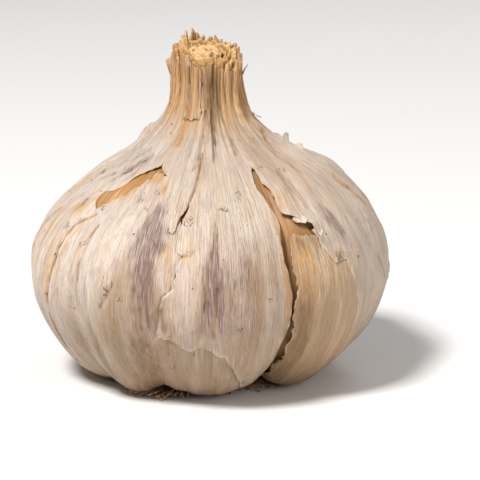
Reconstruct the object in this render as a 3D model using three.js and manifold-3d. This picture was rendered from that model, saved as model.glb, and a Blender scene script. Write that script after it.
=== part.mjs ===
// A garlic bulb, dried and trimmed: plump cloves in a tan inner skin, torn papery wrapper leaves over
// them, a cut neck with a splintered rim round its stalk, and a root plate with short root stubs.
//
// Millimetres, +Z up the neck. The origin is the middle of the root plate's flat underside, which the
// bulb stands on together with a small flat under each clove. A bearing is an angle in degrees round
// the axis: 0 faces -Y, 90 faces +X. A station counts along the outline from the root to the neck.
import * as THREE from "three";
import { mergeVertices } from "three/addons/utils/BufferGeometryUtils.js";
import Module from "manifold-3d";

// Outline of the dressed bulb: [radius, height] at each station.
const OUTLINE = [
  [7.6, 4.6], // 0, edge of the hollow round the root plate
  [12.8, 0.9], // 1, underside
  [19.4, 1.0], // 2
  [25.4, 6.2], // 3
  [29.3, 14.0], // 4
  [29.6, 21.7], // 5, girth lies between 4 and 5
  [26.3, 28.6], // 6
  [20.5, 34.1], // 7, shoulder
  [12.9, 38.3], // 8
  [7.9, 42.3], // 9, foot of the neck
  [6.2, 47.9], // 10
  [6.2, 54.1], // 11, neck
  [6.5, 60.3], // 12, above the cut
];

// Thicknesses and clearances.
const SKIN = 0.6; // a wrapper leaf
const CLEARANCE = 0.35; // between one piece and the next
const NECK_SLACK = 0.4; // extra room under the folds of the neck

// The furrows between cloves: bearing at the girth, lean at the root, lean at the neck, depth.
const FURROWS = [
  { bearing: -47, rootLean: -4, neckLean: 8, depth: 1.6 },
  { bearing: -11, rootLean: -17, neckLean: 6, depth: 1.7 },
  { bearing: 30, rootLean: -3, neckLean: 0, depth: 3.4 },
  { bearing: 72, rootLean: 3, neckLean: 0, depth: 1.6 },
  { bearing: 112, rootLean: 2, neckLean: 0, depth: 2.4 },
  { bearing: 151, rootLean: -2, neckLean: 0, depth: 1.7 },
  { bearing: 190, rootLean: 0, neckLean: 0, depth: 2.6 },
  { bearing: 229, rootLean: 3, neckLean: 0, depth: 1.7 },
  { bearing: 268, rootLean: 2, neckLean: 0, depth: 1.9 },
];
const INNER_FURROW = { share: 1, sharpness: 0.6 }; // how the inner skin follows them
const OUTER_FURROW = { share: 0.6, sharpness: 0.85 }; // how a wrapper leaf bridges them

// Where the shape departs from round: [bearing, half-width, station, half-length, height].
const SWELLINGS = [
  [-80, 55, 7.0, 1.3, -1.8], // the left shoulder slumps
  [92, 60, 4.6, 1.6, 0.4], // the right side is fuller below
  [-20, 60, 8.0, 1.0, 0.3],
  [72, 32, 7.4, 0.8, 0.9], // the right shoulder stands up
  [-40, 24, 2.0, 0.8, 0.6], // the front left clove hangs lowest
];

// The neck.
const SPLINTERS = 23; // strips that the cut rim is split into
const SLIT_DEPTH = 0.55; // stations, of the slits between splinters
const RIM_FRONT = 10.75; // stations: the rim is broken lower at the front
const RIM_BACK = 11.25;
const RIM_LEAN = 0.12; // stations: how much higher it is on the left than on the right
const SPLAY = 0.35; // millimetres that the splinters open out at their tips
const LONG_SPLINTER = { bearing: -74, halfWidth: 9, reach: 2.2 }; // one leans well out, on the left
const STALK_X = -0.6; // the stalk is a little left of the axis
const SOCKET_RADIUS = 3.3; // the hole in the inner sheaths that holds it
const SOCKET_FLOOR = 46;
const STALK_RADIUS = 2.9;
const STALK_TOP = 54;

// The root plate.
const PLATE_RADIUS = 7.2;
const PLATE_TOP = 4.7;
const PLATE_FLAT_RADIUS = 4.6; // the flat spot underneath
const ROOT_STUBS = 36;
const STUB_FOOT = 0.55; // radius of a stub where it leaves the plate
const STUB_TIP = 0.38;

// The wrapper leaves.
const FOOT = 0.75; // station where they end, beside the root plate
const RIM = 11; // station of the rim, before it is split
const CURL_WIDTH = 0.22; // share of a leaf that curls out at an edge

const LAST_STATION = OUTLINE.length - 1;
const radians = THREE.MathUtils.degToRad;
const clamp01 = (x) => THREE.MathUtils.clamp(x, 0, 1);
const smooth = (low, high, x) => THREE.MathUtils.smoothstep(x, low, high);

const outline = new THREE.SplineCurve(OUTLINE.map(([r, z]) => new THREE.Vector2(r, z)));
const outlinePoint = (station) => outline.getPoint(clamp01(station / LAST_STATION));

// Unit vector out of the outline at a station.
function outlineNormal(station) {
  const step = 0.01;
  const along = outlinePoint(station + step).sub(outlinePoint(station - step)).normalize();
  return new THREE.Vector2(along.y, -along.x);
}

// A wobble between -1 and 1, different for each seed.
function wobble(x, seed) {
  return 0.5 * Math.sin(x + seed) + 0.3 * Math.sin(2.3 * x + 2 * seed) + 0.2 * Math.sin(5.1 * x + 3 * seed);
}

// The shorter way from one bearing to another, between -180 and 180.
const turn = (from, to) => ((((to - from + 180) % 360) + 360) % 360) - 180;

function furrowBearing(furrow, station) {
  const nearRoot = clamp01((4.5 - station) / 4.5) ** 0.8;
  const nearNeck = clamp01((station - 5) / 5);
  return furrow.bearing + furrow.rootLean * nearRoot + furrow.neckLean * nearNeck;
}

// How far the surface sinks towards the furrows: nothing at a clove's crown, most in the furrow.
function furrowDepth(bearing, station, { share, sharpness }) {
  const fading = 1 - smooth(5, 8.6, station);
  const deepening = 1 + 0.9 * (1 - smooth(0.8, 4, station));
  for (let i = 0; i < FURROWS.length; i++) {
    const low = FURROWS[i];
    const high = FURROWS[(i + 1) % FURROWS.length];
    const start = furrowBearing(low, station);
    const width = (furrowBearing(high, station) - start + 360) % 360;
    const across = ((bearing - start) % 360 + 360) % 360 / width;
    if (across < 1) {
      const depth = THREE.MathUtils.lerp(low.depth, high.depth, across);
      const sunk = 1 - Math.abs(Math.sin(Math.PI * across)) ** sharpness;
      return depth * sunk * share * fading * deepening;
    }
  }
  return 0;
}

function swelling(bearing, station) {
  let height = 0;
  for (const [middle, halfWidth, at, halfLength, amount] of SWELLINGS) {
    const across = turn(middle, bearing) / halfWidth;
    const along = (station - at) / halfLength;
    height += amount * Math.exp(-across * across - along * along);
  }
  return height;
}

// Point on the bulb, `out` millimetres outside the dressed outline and never under `floor`.
function bulbPoint(bearing, station, out, floor, furrow) {
  const p = outlinePoint(station);
  const n = outlineNormal(station);
  const height = out + swelling(bearing, station) - furrowDepth(bearing, station, furrow);
  const radius = p.x + n.x * height;
  const angle = radians(bearing);
  const z = Math.max(p.y + n.y * height, floor);
  return new THREE.Vector3(radius * Math.sin(angle), -radius * Math.cos(angle), z);
}

// Which splinter of the rim a bearing falls in, and how far across it, 0 to 1.
function splinterAt(bearing) {
  const whole = ((bearing % 360) + 360) % 360 * SPLINTERS / 360;
  const shifted = whole + 0.3 * Math.sin(whole * 2.1);
  const index = Math.floor(shifted);
  return { index: index % SPLINTERS, across: shifted - index };
}

// Station of the cut rim: splinters of uneven height with a slit between each two.
function rimStation(bearing, seed) {
  const { index, across } = splinterAt(bearing);
  const backness = ((1 - Math.cos(radians(bearing))) / 2) ** 1.7;
  const tip = 0.13 * Math.sin(index * 2.7 + seed);
  const slit = SLIT_DEPTH * Math.abs(2 * across - 1) ** 4;
  const level = THREE.MathUtils.lerp(RIM_FRONT, RIM_BACK, backness) - RIM_LEAN * Math.sin(radians(bearing));
  return level + tip - slit;
}

// How far a splinter of a wrapper leaf leans out above the bottom of its slits.
function splinterLean(bearing, station) {
  const rising = smooth(10.3, 11.2, station);
  const { bearing: middle, halfWidth, reach } = LONG_SPLINTER;
  const long = reach * (1 - smooth(0.6, 1, Math.abs(turn(middle, bearing)) / halfWidth));
  return rising * (SPLAY * (0.5 + 0.5 * Math.sin(splinterAt(bearing).index * 1.9)) + long);
}

// Folds that run down from the neck, and strips that stand a little proud of each other on it.
function neckFolds(bearing, station) {
  const a = radians(bearing);
  const folds = 0.6 * Math.sin(9 * a + 0.8) + 0.4 * Math.sin(14 * a + 2.1);
  const { index, across } = splinterAt(bearing);
  const strips = Math.sin(index * 4.3) * (1 - Math.abs(2 * across - 1) ** 3);
  return 0.3 * folds * smooth(6.6, 8.4, station) + 0.22 * strips * smooth(8.8, 10, station);
}

// A closed mesh from rings of points, each end closed on a point of its own.
function closedRings(rings, firstPoint, lastPoint) {
  const columns = rings[0].length;
  const points = [firstPoint, ...rings.flat(), lastPoint];
  const at = (ring, column) => 1 + ring * columns + (column % columns);
  const end = points.length - 1;
  const faces = [];
  for (let c = 0; c < columns; c++) {
    faces.push(0, at(0, c + 1), at(0, c), end, at(rings.length - 1, c), at(rings.length - 1, c + 1));
    for (let r = 0; r < rings.length - 1; r++) {
      faces.push(at(r, c), at(r, c + 1), at(r + 1, c + 1), at(r, c), at(r + 1, c + 1), at(r + 1, c));
    }
  }
  return new THREE.BufferGeometry().setFromPoints(points).setIndex(faces);
}

// A point at share t of the way along a broken line of [bearing, station] pairs.
function alongEdge(edge, t) {
  const last = edge.length - 1;
  const lengths = [0];
  for (let i = 0; i < last; i++) {
    const across = (edge[i + 1][0] - edge[i][0]) * 0.07; // so that 14 degrees count as one station
    lengths.push(lengths[i] + Math.hypot(across, edge[i + 1][1] - edge[i][1]));
  }
  const wanted = clamp01(t) * lengths[last];
  let i = 0;
  while (i < last - 1 && lengths[i + 1] < wanted) i++;
  const share = (wanted - lengths[i]) / (lengths[i + 1] - lengths[i]);
  return [
    THREE.MathUtils.lerp(edge[i][0], edge[i + 1][0], share),
    THREE.MathUtils.lerp(edge[i][1], edge[i + 1][1], share),
  ];
}

const ragged = (t, amount, seed) => amount * wobble(t * 34, seed) * Math.sin(Math.PI * t) ** 0.3;

// The bearing and station at share u across a leaf and share v up it. Its four edges are torn a
// little ragged, and a leaf with no top edge runs on into the splintered rim of the neck.
function leafPlace({ left, right, foot, top, seed }, u, v) {
  const footEdge = foot ?? [left[0], right[0]];
  const topEdge = top ?? [left.at(-1), right.at(-1)];
  const [l, r] = [alongEdge(left, v), alongEdge(right, v)];
  const [f, t] = [alongEdge(footEdge, u), alongEdge(topEdge, u)];
  l[0] += ragged(v, 0.35, seed);
  r[0] += ragged(v, 0.35, seed + 1);
  f[1] += ragged(u, 0.08, seed + 2);
  if (top) t[1] += ragged(u, 0.06, seed + 3);
  // Both straight blends between opposite edges, less the blend of the four corners.
  const blend = (i) => (1 - v) * f[i] + v * t[i] + (1 - u) * l[i] + u * r[i]
    - (1 - u) * (1 - v) * footEdge[0][i] - u * (1 - v) * footEdge.at(-1)[i]
    - (1 - u) * v * topEdge[0][i] - u * v * topEdge.at(-1)[i];
  const [bearing, station] = [blend(0), blend(1)];
  if (top) return [bearing, station];
  const nearRim = smooth(9.2, RIM, station);
  return [bearing, station + nearRim * (rimStation(bearing, seed) - RIM)];
}

// How far a leaf curls out near each of its edges, which fades on the neck.
function leafCurl({ lifts = {} }, u, v, station) {
  const { left = 0, right = 0, foot = 0, top = 0 } = lifts;
  const near = (share) => clamp01(1 - share / CURL_WIDTH) ** 2;
  const sides = (left * near(u) + right * near(1 - u)) * (1 - smooth(8, 9, station));
  return sides + foot * near(v) + top * near(1 - v);
}

// A wrapper leaf: a curved sheet between a left and a right edge, which both run from the root
// upwards, a foot and a top.
function wrapperLeaf(leaf) {
  const { columns, rows } = leaf;
  const outer = [];
  const inner = [];
  for (let j = 0; j <= rows; j++) {
    for (let i = 0; i <= columns; i++) {
      const [u, v] = [i / columns, j / rows];
      const [bearing, station] = leafPlace(leaf, u, v);
      const raised = neckFolds(bearing, station) + splinterLean(bearing, station);
      const out = raised + leafCurl(leaf, u, v, station);
      outer.push(bulbPoint(bearing, station, out, 0, OUTER_FURROW));
      inner.push(bulbPoint(bearing, station, out - SKIN, SKIN, OUTER_FURROW));
    }
  }
  return closedSheet(outer, inner, columns, rows);
}

// A closed mesh from the outer and inner points of a sheet, both split along the same diagonals.
function closedSheet(outer, inner, columns, rows) {
  const across = columns + 1;
  const inside = outer.length;
  const at = (j, i) => j * across + i;
  const faces = [];
  for (let j = 0; j < rows; j++) {
    for (let i = 0; i < columns; i++) {
      const [a, b, c, d] = [at(j, i), at(j, i + 1), at(j + 1, i + 1), at(j + 1, i)];
      faces.push(a, b, c, a, c, d);
      faces.push(inside + a, inside + c, inside + b, inside + a, inside + d, inside + c);
    }
  }
  const rim = [];
  for (let i = 0; i < columns; i++) rim.push(at(0, i));
  for (let j = 0; j < rows; j++) rim.push(at(j, columns));
  for (let i = columns; i > 0; i--) rim.push(at(rows, i));
  for (let j = rows; j > 0; j--) rim.push(at(j, 0));
  rim.forEach((a, n) => {
    const b = rim[(n + 1) % rim.length];
    faces.push(a, inside + a, inside + b, a, inside + b, b);
  });
  return new THREE.BufferGeometry().setFromPoints([...outer, ...inner]).setIndex(faces);
}

// The cloves in their inner skin: one lobed body that narrows into the inner sheaths of the neck,
// whose broken rim stands round the hole for the stalk.
function cloveBody() {
  const columns = 64;
  const depthUnder = (station) => SKIN + CLEARANCE + NECK_SLACK * smooth(7, 9.5, station);
  const ring = (pointOf) => Array.from({ length: columns }, (_, c) => pointOf(c * 360 / columns));
  const rings = [];
  const stations = [0, 0.6, 1.2, 1.8, 2.4, 3, 3.6, 4.2, 4.8, 5.4, 6, 6.5, 7, 7.5, 8, 8.5, 9.1, 10];
  for (const station of stations) {
    rings.push(ring((b) => bulbPoint(b, station, -depthUnder(station), SKIN + CLEARANCE, INNER_FURROW)));
  }
  const rimSeed = 5;
  const rimOuter = (b) => bulbPoint(b, rimStation(b, rimSeed) - 0.1, -depthUnder(11), 0, INNER_FURROW);
  rings.push(ring(rimOuter));
  rings.push(ring((b) => circlePoint(b, SOCKET_RADIUS, rimOuter(b).z - 0.3, STALK_X)));
  rings.push(ring((b) => circlePoint(b, SOCKET_RADIUS, SOCKET_FLOOR, STALK_X)));
  const underside = new THREE.Vector3(0, 0, PLATE_TOP + 2 * CLEARANCE);
  return closedRings(rings, underside, new THREE.Vector3(STALK_X, 0, SOCKET_FLOOR));
}

// Point on a level circle, its middle at `x` on the X axis.
function circlePoint(bearing, radius, z, x = 0) {
  const angle = radians(bearing);
  return new THREE.Vector3(x + radius * Math.sin(angle), -radius * Math.cos(angle), z);
}

// The dried stalk in the middle of the neck, its cut end rough, bevelled and lower towards the front.
function stalk() {
  const columns = 20;
  const bevel = 0.5;
  const floor = SOCKET_FLOOR + CLEARANCE;
  const ring = (heightAt, radius) => Array.from({ length: columns }, (_, c) => {
    const bearing = c * 360 / columns;
    return circlePoint(bearing, radius, heightAt(bearing), STALK_X);
  });
  const cut = (radius, drop) => (bearing) => STALK_TOP - drop
    + 0.25 * wobble(bearing / 14, radius) - 0.12 * radius * Math.cos(radians(bearing));
  const rings = [
    ring(() => floor, STALK_RADIUS),
    ring(() => 50, STALK_RADIUS),
    ring(cut(STALK_RADIUS, bevel), STALK_RADIUS),
    ...[0.85, 0.55, 0.28].map((share) => ring(cut(share * STALK_RADIUS, 0), share * STALK_RADIUS)),
  ];
  const [bottom, top] = [floor, STALK_TOP].map((z) => new THREE.Vector3(STALK_X, 0, z));
  return closedRings(rings, bottom, top);
}

const wasm = await Module();
wasm.setup();

function toSolid(geometry) {
  const bare = new THREE.BufferGeometry()
    .setAttribute("position", geometry.getAttribute("position"))
    .setIndex(geometry.getIndex());
  const merged = mergeVertices(bare, 1e-4);
  return new wasm.Manifold(new wasm.Mesh({
    numProp: 3,
    vertProperties: merged.attributes.position.array,
    triVerts: new Uint32Array(merged.index.array),
  }));
}

function toGeometry(solid) {
  const mesh = solid.getMesh();
  return new THREE.BufferGeometry()
    .setAttribute("position", new THREE.BufferAttribute(mesh.vertProperties, 3))
    .setIndex(new THREE.BufferAttribute(mesh.triVerts, 1));
}

// The root plate with a ring of trimmed root stubs fused to its edge and underside.
function rootPlate() {
  const profile = [
    [0, 0], [PLATE_FLAT_RADIUS, 0], [PLATE_RADIUS - 1, 0.9], [PLATE_RADIUS, 2.2],
    [PLATE_RADIUS - 0.3, PLATE_TOP], [0, PLATE_TOP],
  ].map(([r, z]) => new THREE.Vector2(r, z));
  const uprightAxis = Math.PI / 2; // a lathe turns its profile round +Y
  let solid = toSolid(new THREE.LatheGeometry(profile, 28).rotateX(uprightAxis));
  for (let i = 0; i < ROOT_STUBS; i++) {
    const bearing = i * 137.5; // each stub a golden angle on from the last, so they spread evenly
    const reach = PLATE_RADIUS + 1.4 + 1.2 * Math.sin(i * 1.7);
    const start = circlePoint(bearing, PLATE_RADIUS - 2.4, 2.0);
    const end = circlePoint(bearing + 10 * Math.sin(i * 2.9), reach, 0.9 + 0.35 * Math.sin(i * 2.3));
    const along = end.clone().sub(start);
    const stub = new THREE.CylinderGeometry(STUB_TIP, STUB_FOOT, along.length(), 5);
    stub.applyQuaternion(new THREE.Quaternion()
      .setFromUnitVectors(new THREE.Vector3(0, 1, 0), along.clone().normalize()));
    stub.translate(...start.clone().add(end).multiplyScalar(0.5).toArray());
    solid = solid.add(toSolid(stub));
  }
  return toGeometry(solid);
}

// The edges of the wrapper leaves, [bearing, station] from the root upwards. A leaf with no top of
// its own runs on into the splintered rim of the neck.
const WRAPPERS = {
  front_wrapper: {
    left: [
      [-16, 3.95], [-15, 4.6], [-12.5, 4.9], [-10.7, 5.3], [-8.2, 5.65], [-11, 5.75], [-11.2, 6.15],
      [-10.6, 6.45], [-8.8, 6.85], [-6.8, 7.2], [-4.2, 7.75], [-3.8, 8.3], [-6, 9], [-9, 9.5], [-9, RIM],
    ],
    right: [
      [24, FOOT], [25, 2.2], [26, 3.5], [28, 3.95], [28.7, 4.6], [26.5, 5.3], [25.7, 6], [25, 6.8],
      [26, 7.4], [28.6, 8], [29, 9], [29, RIM],
    ],
    foot: [[-16, 3.95], [-10, 3.75], [0, 3.68], [4, 3.5], [9, 3.2], [14, 2.4], [19, 1.4], [24, FOOT]],
    columns: 12,
    rows: 26,
    lifts: { left: 0.15, right: 0.25 },
    seed: 1,
  },
  front_strip_wrapper: {
    left: [
      [-16, 6.32], [-16.3, 6.7], [-18.3, 7.2], [-27.5, 7.72], [-26, 8.3], [-26.8, 8.75], [-29.5, 9.2],
    ],
    right: [
      [-13, 6.24], [-12.2, 6.5], [-10.4, 6.88], [-8.4, 7.22], [-5.9, 7.75], [-5.7, 8.3], [-8.4, 9],
      [-12.4, 9.2],
    ],
    foot: [[-16, 6.32], [-14.5, 6.15], [-13, 6.24]],
    top: [[-29.5, 9.2], [-21, 9.12], [-12.4, 9.2]],
    columns: 5,
    rows: 12,
    lifts: { right: 0.3 },
    seed: 9,
  },
  neck_strip: {
    left: [[-29.8, 9.36], [-29.8, 10], [-29.8, RIM]],
    right: [[-12.6, 9.34], [-12.6, 10], [-12.6, RIM]],
    foot: [[-29.8, 9.36], [-25, 9.22], [-20, 9.3], [-16, 9.26], [-12.6, 9.34]],
    columns: 7,
    rows: 8,
    lifts: { foot: 0.7 },
    seed: 10,
  },
  front_base_wrapper: {
    left: [[-25, FOOT], [-23, 2], [-21, 3], [-19.5, 3.6]],
    right: [[19, FOOT], [18.4, 0.95], [18, 1.1], [17.4, 1.25]],
    top: [[-19.5, 3.6], [-10, 3.6], [0, 3.53], [3.8, 3.36], [8.2, 3.05], [12.8, 2.25], [17.4, 1.25]],
    columns: 12,
    rows: 6,
    seed: 2,
  },
  left_front_wrapper: {
    left: [
      [-63, FOOT], [-63.5, 2.5], [-62, 3.5], [-59.5, 4], [-57.5, 4.5], [-56.2, 5], [-55.5, 5.4],
      [-54.5, 5.7], [-51.5, 5.98],
    ],
    right: [
      [-27, FOOT], [-25, 2], [-22.8, 3], [-18, 3.9], [-16.6, 4.6], [-14.1, 4.9], [-12.3, 5.3],
      [-10.2, 5.65], [-12.8, 5.8], [-13.4, 6.05], [-17.6, 6.2], [-18, 6.7], [-20.2, 7.15],
    ],
    top: [
      [-51.5, 5.98], [-47, 6.28], [-44, 6.6], [-39, 6.78], [-36, 7.08], [-31, 7.4], [-26, 7.45],
      [-20.2, 7.15],
    ],
    columns: 12,
    rows: 19,
    lifts: { left: 0.1, right: 0.1, top: 0.1 },
    seed: 3,
  },
  left_shoulder_wrapper: {
    left: [[-104, FOOT], [-103, 4], [-100, 7], [-104, 9], [-108, RIM]],
    right: [
      [-65.5, FOOT], [-65.5, 2.5], [-64, 3.5], [-61.3, 4], [-59.3, 4.5], [-57.8, 5], [-57.2, 5.45],
      [-56, 5.75], [-52.5, 6.12], [-49.3, 6.4], [-51.5, 6.72], [-46.5, 7], [-43.5, 7.25], [-43.5, 7.45],
      [-34, 7.72], [-30.5, 8], [-28.2, 8.35], [-29, 8.8], [-32.6, 9.3], [-33.2, RIM],
    ],
    columns: 14,
    rows: 26,
    lifts: { right: 0.8 },
    seed: 4,
  },
  right_shoulder_wrapper: {
    left: [
      [56, FOOT], [55, 2.5], [54, 4], [51, 4.9], [49, 5.2], [47, 5.5], [44, 5.2], [41, 5.6],
      [40.5, 6.15], [35.5, 6.38], [30.3, 6.62], [31, 7.05], [29.2, 7.35], [30.6, 8], [32.2, 9], [32.4, RIM],
    ],
    right: [
      [99, FOOT], [98, 3], [93, 5], [87, 6], [82, 6.6], [80, 7], [79, 8], [81, 9], [85.5, 10], [87, RIM],
    ],
    columns: 15,
    rows: 27,
    lifts: { left: 0.7 },
    seed: 5,
  },
  right_inner_wrapper: {
    left: [
      [29, FOOT], [29, 2.5], [29.4, 3.5], [30.2, 4.1], [30.9, 4.7], [29.4, 5.05], [29.2, 5.35],
      [28.2, 5.8], [29.6, 6.14],
    ],
    right: [
      [54.2, FOOT], [53.4, 2.5], [52.4, 4], [49.4, 4.8], [46, 5.05], [42.2, 5.05], [39.3, 5.5],
      [38.5, 5.9],
    ],
    top: [[29.6, 6.14], [34, 6.18], [38.5, 5.9]],
    columns: 7,
    rows: 16,
    lifts: { left: 0.1 },
    seed: 6,
  },
  back_right_wrapper: {
    left: [
      [100.6, FOOT], [99.6, 3], [94.6, 5], [88.6, 6], [83.6, 6.6], [81.6, 7], [80.8, 8], [83, 9],
      [88.8, 10], [90.4, RIM],
    ],
    right: [[184, FOOT], [186, 3], [184, 4.5], [176, 6], [178, 7], [184, 7.8], [180.6, 9], [181, RIM]],
    columns: 14,
    rows: 20,
    lifts: { right: 0.5 },
    seed: 7,
  },
  back_left_wrapper: {
    left: [
      [185.6, FOOT], [187.6, 3], [185.8, 4.5], [184.6, 6], [186, 7], [186.4, 7.8], [183.4, 9],
      [184.4, RIM],
    ],
    right: [[254.4, FOOT], [255.4, 4], [258.2, 7], [253.4, 9], [248.8, RIM]],
    columns: 12,
    rows: 20,
    lifts: { left: 0.1 },
    seed: 8,
  },
};

const papery = (color) => new THREE.MeshStandardMaterial({ color, roughness: 0.6, metalness: 0 });
const SKIN_COLOURS = { front_base_wrapper: "#c9b49a", right_inner_wrapper: "#cfb08a" };
const PALE_SKIN = "#e6d6c2";
const INNER_SKIN = "#c98f52";
const DRY_STALK = "#dcb078";
const ROOT_BROWN = "#8a6a45";

const bulb = new THREE.Group();
function addPiece(name, geometry, color) {
  const mesh = new THREE.Mesh(geometry, papery(color));
  mesh.name = name;
  bulb.add(mesh);
}

addPiece("cloves_in_inner_skin", cloveBody(), INNER_SKIN);
for (const [name, leaf] of Object.entries(WRAPPERS)) {
  addPiece(name, wrapperLeaf(leaf), SKIN_COLOURS[name] ?? PALE_SKIN);
}
addPiece("stalk", stalk(), DRY_STALK);
addPiece("root_plate", rootPlate(), ROOT_BROWN);

export default bulb;
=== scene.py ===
import logging
from collections.abc import Mapping, Sequence
from dataclasses import dataclass, field
from enum import Enum

import bpy
import numpy as np
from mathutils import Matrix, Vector


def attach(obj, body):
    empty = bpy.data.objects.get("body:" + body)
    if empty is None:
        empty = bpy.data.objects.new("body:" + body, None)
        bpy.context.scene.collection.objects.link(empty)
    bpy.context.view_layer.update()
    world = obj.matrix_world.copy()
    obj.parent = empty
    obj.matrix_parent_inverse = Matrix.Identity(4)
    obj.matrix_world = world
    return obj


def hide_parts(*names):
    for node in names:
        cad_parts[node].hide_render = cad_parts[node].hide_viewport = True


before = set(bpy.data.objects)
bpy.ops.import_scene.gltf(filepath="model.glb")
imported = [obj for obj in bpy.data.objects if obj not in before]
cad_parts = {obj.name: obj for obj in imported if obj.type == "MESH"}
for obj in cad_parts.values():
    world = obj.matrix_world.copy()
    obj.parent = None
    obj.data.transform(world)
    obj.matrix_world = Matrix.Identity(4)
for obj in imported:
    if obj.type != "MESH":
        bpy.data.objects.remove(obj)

LOG = logging.getLogger("garlic_bulb")
MM = 0.001
RIM = 11.0  # station of the neck's rim, before it is split
FOOT = 0.75  # station where the leaves end, beside the root plate
STATION_LENGTH = 7.5  # millimetres along the outline in one station
STATIONS_A_DEGREE = 0.07  # what a degree counts as in lengths along a leaf's edge
GIRTH = 29.0  # millimetres, radius at the girth
NECK_ARC = 0.11  # millimetres in one degree round the neck
SHADED_SIDE = 75.0  # bearing of the side painted darker, as shade and as older skin
STALK_X = -0.6  # millimetres: the stalk stands a little left of the axis
Array = np.ndarray
Pairs = tuple[tuple[float, float], ...]
Point = tuple[float, float, float]
Colour = tuple[float, float, float]
Socket = bpy.types.NodeSocket
Node = bpy.types.Node
Tree = bpy.types.NodeTree
Material = bpy.types.Material


def smooth(low: float, high: float, x: Array) -> Array:
    """Rise from 0 to 1 between two values of x: t * t * (3 - 2 * t), t the share of the way."""
    t = np.clip((x - low) / (high - low), 0, 1)
    return t * t * (3 - 2 * t)


def turn(start: float, end: Array) -> Array:
    """Give the shorter way round from one bearing to others, in degrees between -180 and 180."""
    return (end - start + 180) % 360 - 180


class Drape(Enum):
    """How a skin follows the furrows between cloves: share of their depth, and sharpness."""

    INNER = (1.0, 0.6)
    OUTER = (0.6, 0.85)


class Edge(Enum):
    """The four edges of a leaf, seen from outside with the root below."""

    LEFT = "left"
    RIGHT = "right"
    FOOT = "foot"
    TOP = "top"


class Slot(Enum):
    """The material slots."""

    INNER_SKIN = "inner_skin"
    WRAPPER = "wrapper"
    UNDER_WRAPPER = "under_wrapper"
    STALK = "stalk"
    ROOT_PLATE = "root_plate"


@dataclass(frozen=True)
class LatticeNoise:
    """Smooth noise between -1 and 1 that closes on itself once round the bulb.

    Random numbers stand on a lattice, and a point takes the blend of the four round it, each way with
    weights s = t * t * (3 - 2 * t), where t is the share of the way across the cell.

    Attributes:
        seed: seed of the random numbers.
        cells_round: lattice cells in a full turn.
        cells_up: lattice cells in one station.
    """

    seed: int
    cells_round: int
    cells_up: float

    def at(self, bearing: Array, station: Array) -> Array:
        """Read the noise.

        Args:
            bearing: degrees.
            station: stations.

        Returns:
            The noise at each place.
        """
        rows = 64
        lattice = np.random.default_rng(self.seed).uniform(-1, 1, (rows, self.cells_round))
        x = bearing % 360 / 360 * self.cells_round
        y = (station + 3) * self.cells_up
        i, j = np.floor(x).astype(int), np.floor(y).astype(int)
        s, t = smooth(0, 1, x - i), smooth(0, 1, y - j)
        left, right = i % self.cells_round, (i + 1) % self.cells_round
        below, above = j % rows, (j + 1) % rows
        low = lattice[below, left] * (1 - s) + lattice[below, right] * s
        high = lattice[above, left] * (1 - s) + lattice[above, right] * s
        return low * (1 - t) + high * t


def torn_line(length: Array, seed: int, waves: Sequence[tuple[float, float]], blocky: float = 0.0) -> Array:
    """Give a torn edge's departure from its smooth line, in millimetres.

    Each wave is a broken line through random heights, one every so many millimetres, and the waves
    are added up. A blocky one keeps each height for that share of the way before it goes to the next.

    Args:
        length: millimetres along the edge.
        seed: seed of the random heights.
        waves: (millimetres between heights, largest height) of each wave.
        blocky: 0 for a broken line, nearly 1 for steps.

    Returns:
        Millimetres off the line.
    """
    total = np.zeros_like(length)
    for number, (step, height) in enumerate(waves):
        rng = np.random.default_rng([seed, number])
        steps = np.arange(401)  # more than the longest edge has
        knots = steps + rng.uniform(-0.3, 0.3, len(steps))
        place = np.interp(length / step, knots, steps)
        whole = np.floor(place)
        ramp = np.clip((place - whole - blocky) / (1 - blocky), 0, 1)
        heights = rng.uniform(-1, 1, len(steps) + 2)
        index = whole.astype(int)
        total = total + height * (heights[index] * (1 - ramp) + heights[index + 1] * ramp)
    return total


@dataclass(frozen=True)
class Furrow:
    """A furrow between two cloves.

    Attributes:
        bearing: degrees, at the girth.
        root_lean: degrees it has turned by at the root.
        neck_lean: degrees it has turned by at the neck.
        depth: millimetres.
    """

    bearing: float
    root_lean: float
    neck_lean: float
    depth: float

    def at(self, station: Array) -> Array:
        """Give the furrow's bearing, which turns more and more towards both ends.

        Args:
            station: stations.

        Returns:
            Degrees.
        """
        near_root = np.clip((4.5 - station) / 4.5, 0, 1) ** 0.8
        near_neck = np.clip((station - 5) / 5, 0, 1)
        return self.bearing + self.root_lean * near_root + self.neck_lean * near_neck


@dataclass(frozen=True)
class Swelling:
    """A rounded rise or, with a negative height, a hollow.

    Attributes:
        bearing: its middle, degrees.
        half_width: degrees.
        station: its middle, stations.
        half_length: stations.
        height: millimetres.
    """

    bearing: float
    half_width: float
    station: float
    half_length: float
    height: float

    def at(self, bearing: Array, station: Array) -> Array:
        """Give its height at each place: height * exp(-across^2 - along^2).

        Args:
            bearing: degrees.
            station: stations.

        Returns:
            Millimetres.
        """
        across = turn(self.bearing, bearing) / self.half_width
        along = (station - self.station) / self.half_length
        return self.height * np.exp(-across * across - along * along)


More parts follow.
